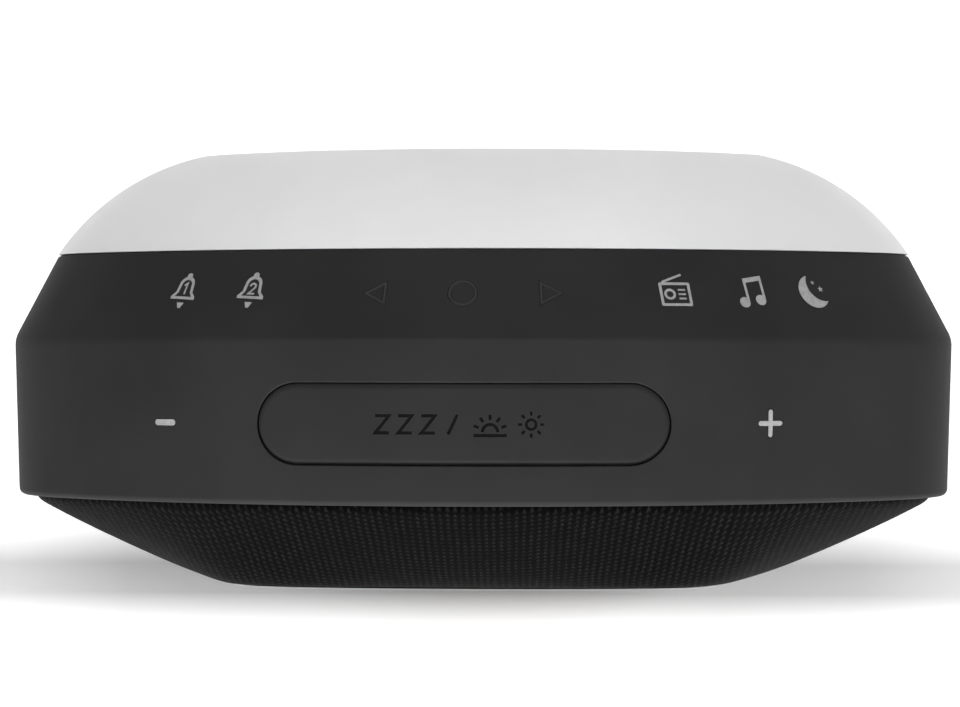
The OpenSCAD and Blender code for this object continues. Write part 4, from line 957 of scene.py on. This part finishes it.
# Lit segments, flush with the lens's rim. Letters name the segments, placed as (across, up, upright)
SEGMENTS = {"7": "abc", "3": "abcdg", "0": "abcdef"}
DIGIT_W, DIGIT_H, PEN, LEAN = 11.0, 21.0, 2.4, 0.1
SEGMENT_GAP, LIT_H, LIT_EDGE = 0.7, 0.045, 0.05
COLON_X, COLON_Y, DOT_R = -6.4, 4.2, 1.35
PLACES = {"a": (0, 1, 0), "g": (0, 0, 0), "d": (0, -1, 0), "b": (0.5, 0.5, 1), "c": (0.5, -0.5, 1),
          "e": (-0.5, -0.5, 1), "f": (-0.5, 0.5, 1)}
digits = bmesh.new()


def lit(loop):
    """A lit shape on the lens's face."""
    mark(digits, [loop], lambda x, y, lift: Vector(
        (x, FACE_Y + lens_dome(x, WINDOW_Z + y) - lift, WINDOW_Z + y)), LIT_H, LIT_EDGE)


for digit, x in (("7", -17.5), ("3", 4.5), ("0", 19.5)):
    for s in SEGMENTS[digit]:
        u, v, upright = PLACES[s]
        length = (DIGIT_H / 2 if upright else DIGIT_W) - SEGMENT_GAP
        h = PEN / 2
        bar_loop = [(-length / 2, 0), (-length / 2 + h, -h), (length / 2 - h, -h), (length / 2, 0),
                    (length / 2 - h, h), (-length / 2 + h, h)]
        if upright:
            bar_loop = [(-q, p) for p, q in bar_loop]
        lit([(x + u * DIGIT_W + p + LEAN * (v * DIGIT_H / 2 + q), v * DIGIT_H / 2 + q) for p, q in bar_loop])
for y in (-COLON_Y, COLON_Y):
    lit(disc(COLON_X + LEAN * y, y, DOT_R, 28))
piece("display_digits", digits, "digits", sharp=30)


# ---- Back and base ----

softened("back_plate", "rear_panel", 0.3, "back")
softened("base_plate", "base_cover", 0.3, "back")
softened("foot_strip", "foot_pad", 0.2, "rubber")


# ---- Floor, light and camera, in metres from here on ----

floor_mesh = bpy.data.meshes.new("studio_floor")
floor_mesh.from_pydata([(-4, -4, 0), (4, -4, 0), (4, 4, 0), (-4, 4, 0)], [], [(0, 1, 2, 3)])
ground = added("studio_floor", floor_mesh)
paper = bpy.data.materials.new("pale_studio_paper")
paper.use_nodes = True
tree = paper.node_tree
tree.nodes.clear()
at = add(tree, "TexCoord").outputs["Object"]
fibre = noise(tree, at, 1.5)
white = blend(tree, span(tree, noise(tree, at, 300), 0.3, 0.7), "#f6f6f6", "#fafafa")
relief = add(tree, "Bump", {"Height": fibre, "Distance": 0.00002})
matt = add(tree, "BsdfDiffuse", {"Color": white, "Normal": relief})
seen = add(tree, "LightPath").outputs
direct = add(tree, "Math", {0: seen["Is Camera Ray"], 1: seen["Is Glossy Ray"]}, operation="MAXIMUM")
direct = add(tree, "Math", {0: direct, 1: seen["Is Transmission Ray"]}, operation="MAXIMUM")
# The paper glows white to the camera, but for a strip before the object where the lamps' shadow shows and
# the strip's shape is painted shadow, which fades towards both ends
SHADOW_STRIP_Y, SHADOW_STRIP_HALF, SHADOW_STRIP_EDGE, GLOW = -0.044, 0.003, 0.010, 0.6
END_X, END_FAR, END_GLOW = 0.076, 0.1, 0.14
along, deep, _ = add(tree, "SeparateXYZ", {0: at}).outputs
strip = add(tree, "Math", {0: deep, 1: -SHADOW_STRIP_Y}, operation="ADD")
strip = add(tree, "Math", {0: strip}, operation="ABSOLUTE")
ends = add(tree, "Math", {0: along}, operation="ABSOLUTE")
level = add(tree, "Math", {0: span(tree, strip, SHADOW_STRIP_HALF, SHADOW_STRIP_EDGE, 0, GLOW),
                           1: span(tree, ends, END_X, END_FAR, 0, END_GLOW)}, operation="ADD")
glow = add(tree, "Emission", {"Color": (1, 1, 1, 1), "Strength": level})
lifted = add(tree, "AddShader", {0: matt, 1: glow})
add(tree, "OutputMaterial", {"Surface": add(tree, "MixShader", {0: direct, 1: matt, 2: lifted})})
ground.data.materials.append(paper)

world = bpy.data.worlds.new("studio")
bpy.context.scene.world = world
world.use_nodes = True
tree = world.node_tree
tree.nodes.clear()
# Brighter overhead than near the horizon
height = add(tree, "SeparateXYZ", {0: add(tree, "TexCoord").outputs["Generated"]}).outputs[2]
sky = add(tree, "Background", {"Color": (1, 1, 1, 1), "Strength": span(tree, height, 0, 1, 0.02, 0.15)})
add(tree, "OutputWorld", {"Surface": sky})


def lamp(name, place, power, width, height):
    """A soft box that looks at the middle of the object."""
    data = bpy.data.lights.new(name, "AREA")
    data.energy, data.shape, data.size, data.size_y = power, "RECTANGLE", width, height
    made = added(name, data)
    made.location = place
    made.rotation_euler = (Vector((0, 0, 0.05)) - Vector(place)).to_track_quat("-Z", "Y").to_euler()
    made.visible_camera = False
    return made


lamp("key_box", (0, 0.3, 1.5), 4.6, 0.9, 0.5)
lamp("right_box", (0.9, 0.1, 1.1), 9.6, 0.4, 0.6)
lamp("left_box", (-0.9, 0.1, 0.95), 6.0, 0.5, 0.6)
front = lamp("front_box", (0, -1.2, 0.32), 34.0, 1.6, 0.3)
# The front box is kept off the paper, so that the shadow stays, and off the cloth, which is in shade
shade = bpy.data.collections.new("front_box_receivers")
for k, kept in enumerate((ground, cloth)):
    shade.objects.link(kept)
    shade.collection_objects[k].light_linking.link_state = "EXCLUDE"
front.light_linking.receiver_collection = shade

# The camera looks down from above the crown, a little to the right of the middle
camera = added("camera", bpy.data.cameras.new("camera"))
camera.data.sensor_width, camera.data.lens = 36, 142.11
camera.data.clip_start, camera.data.clip_end = 0.01, 50
turn = Matrix.Rotation(-0.0019, 4, "X") @ Matrix.Rotation(0.0585, 4, "Y") @ Matrix.Rotation(0.0008, 4, "Z")
camera.matrix_world = Matrix.Translation(Vector((43.3211, 4.2044, 784.1751)) * MM) @ turn
bpy.context.scene.camera = camera
bpy.context.scene.view_settings.view_transform = "Standard"
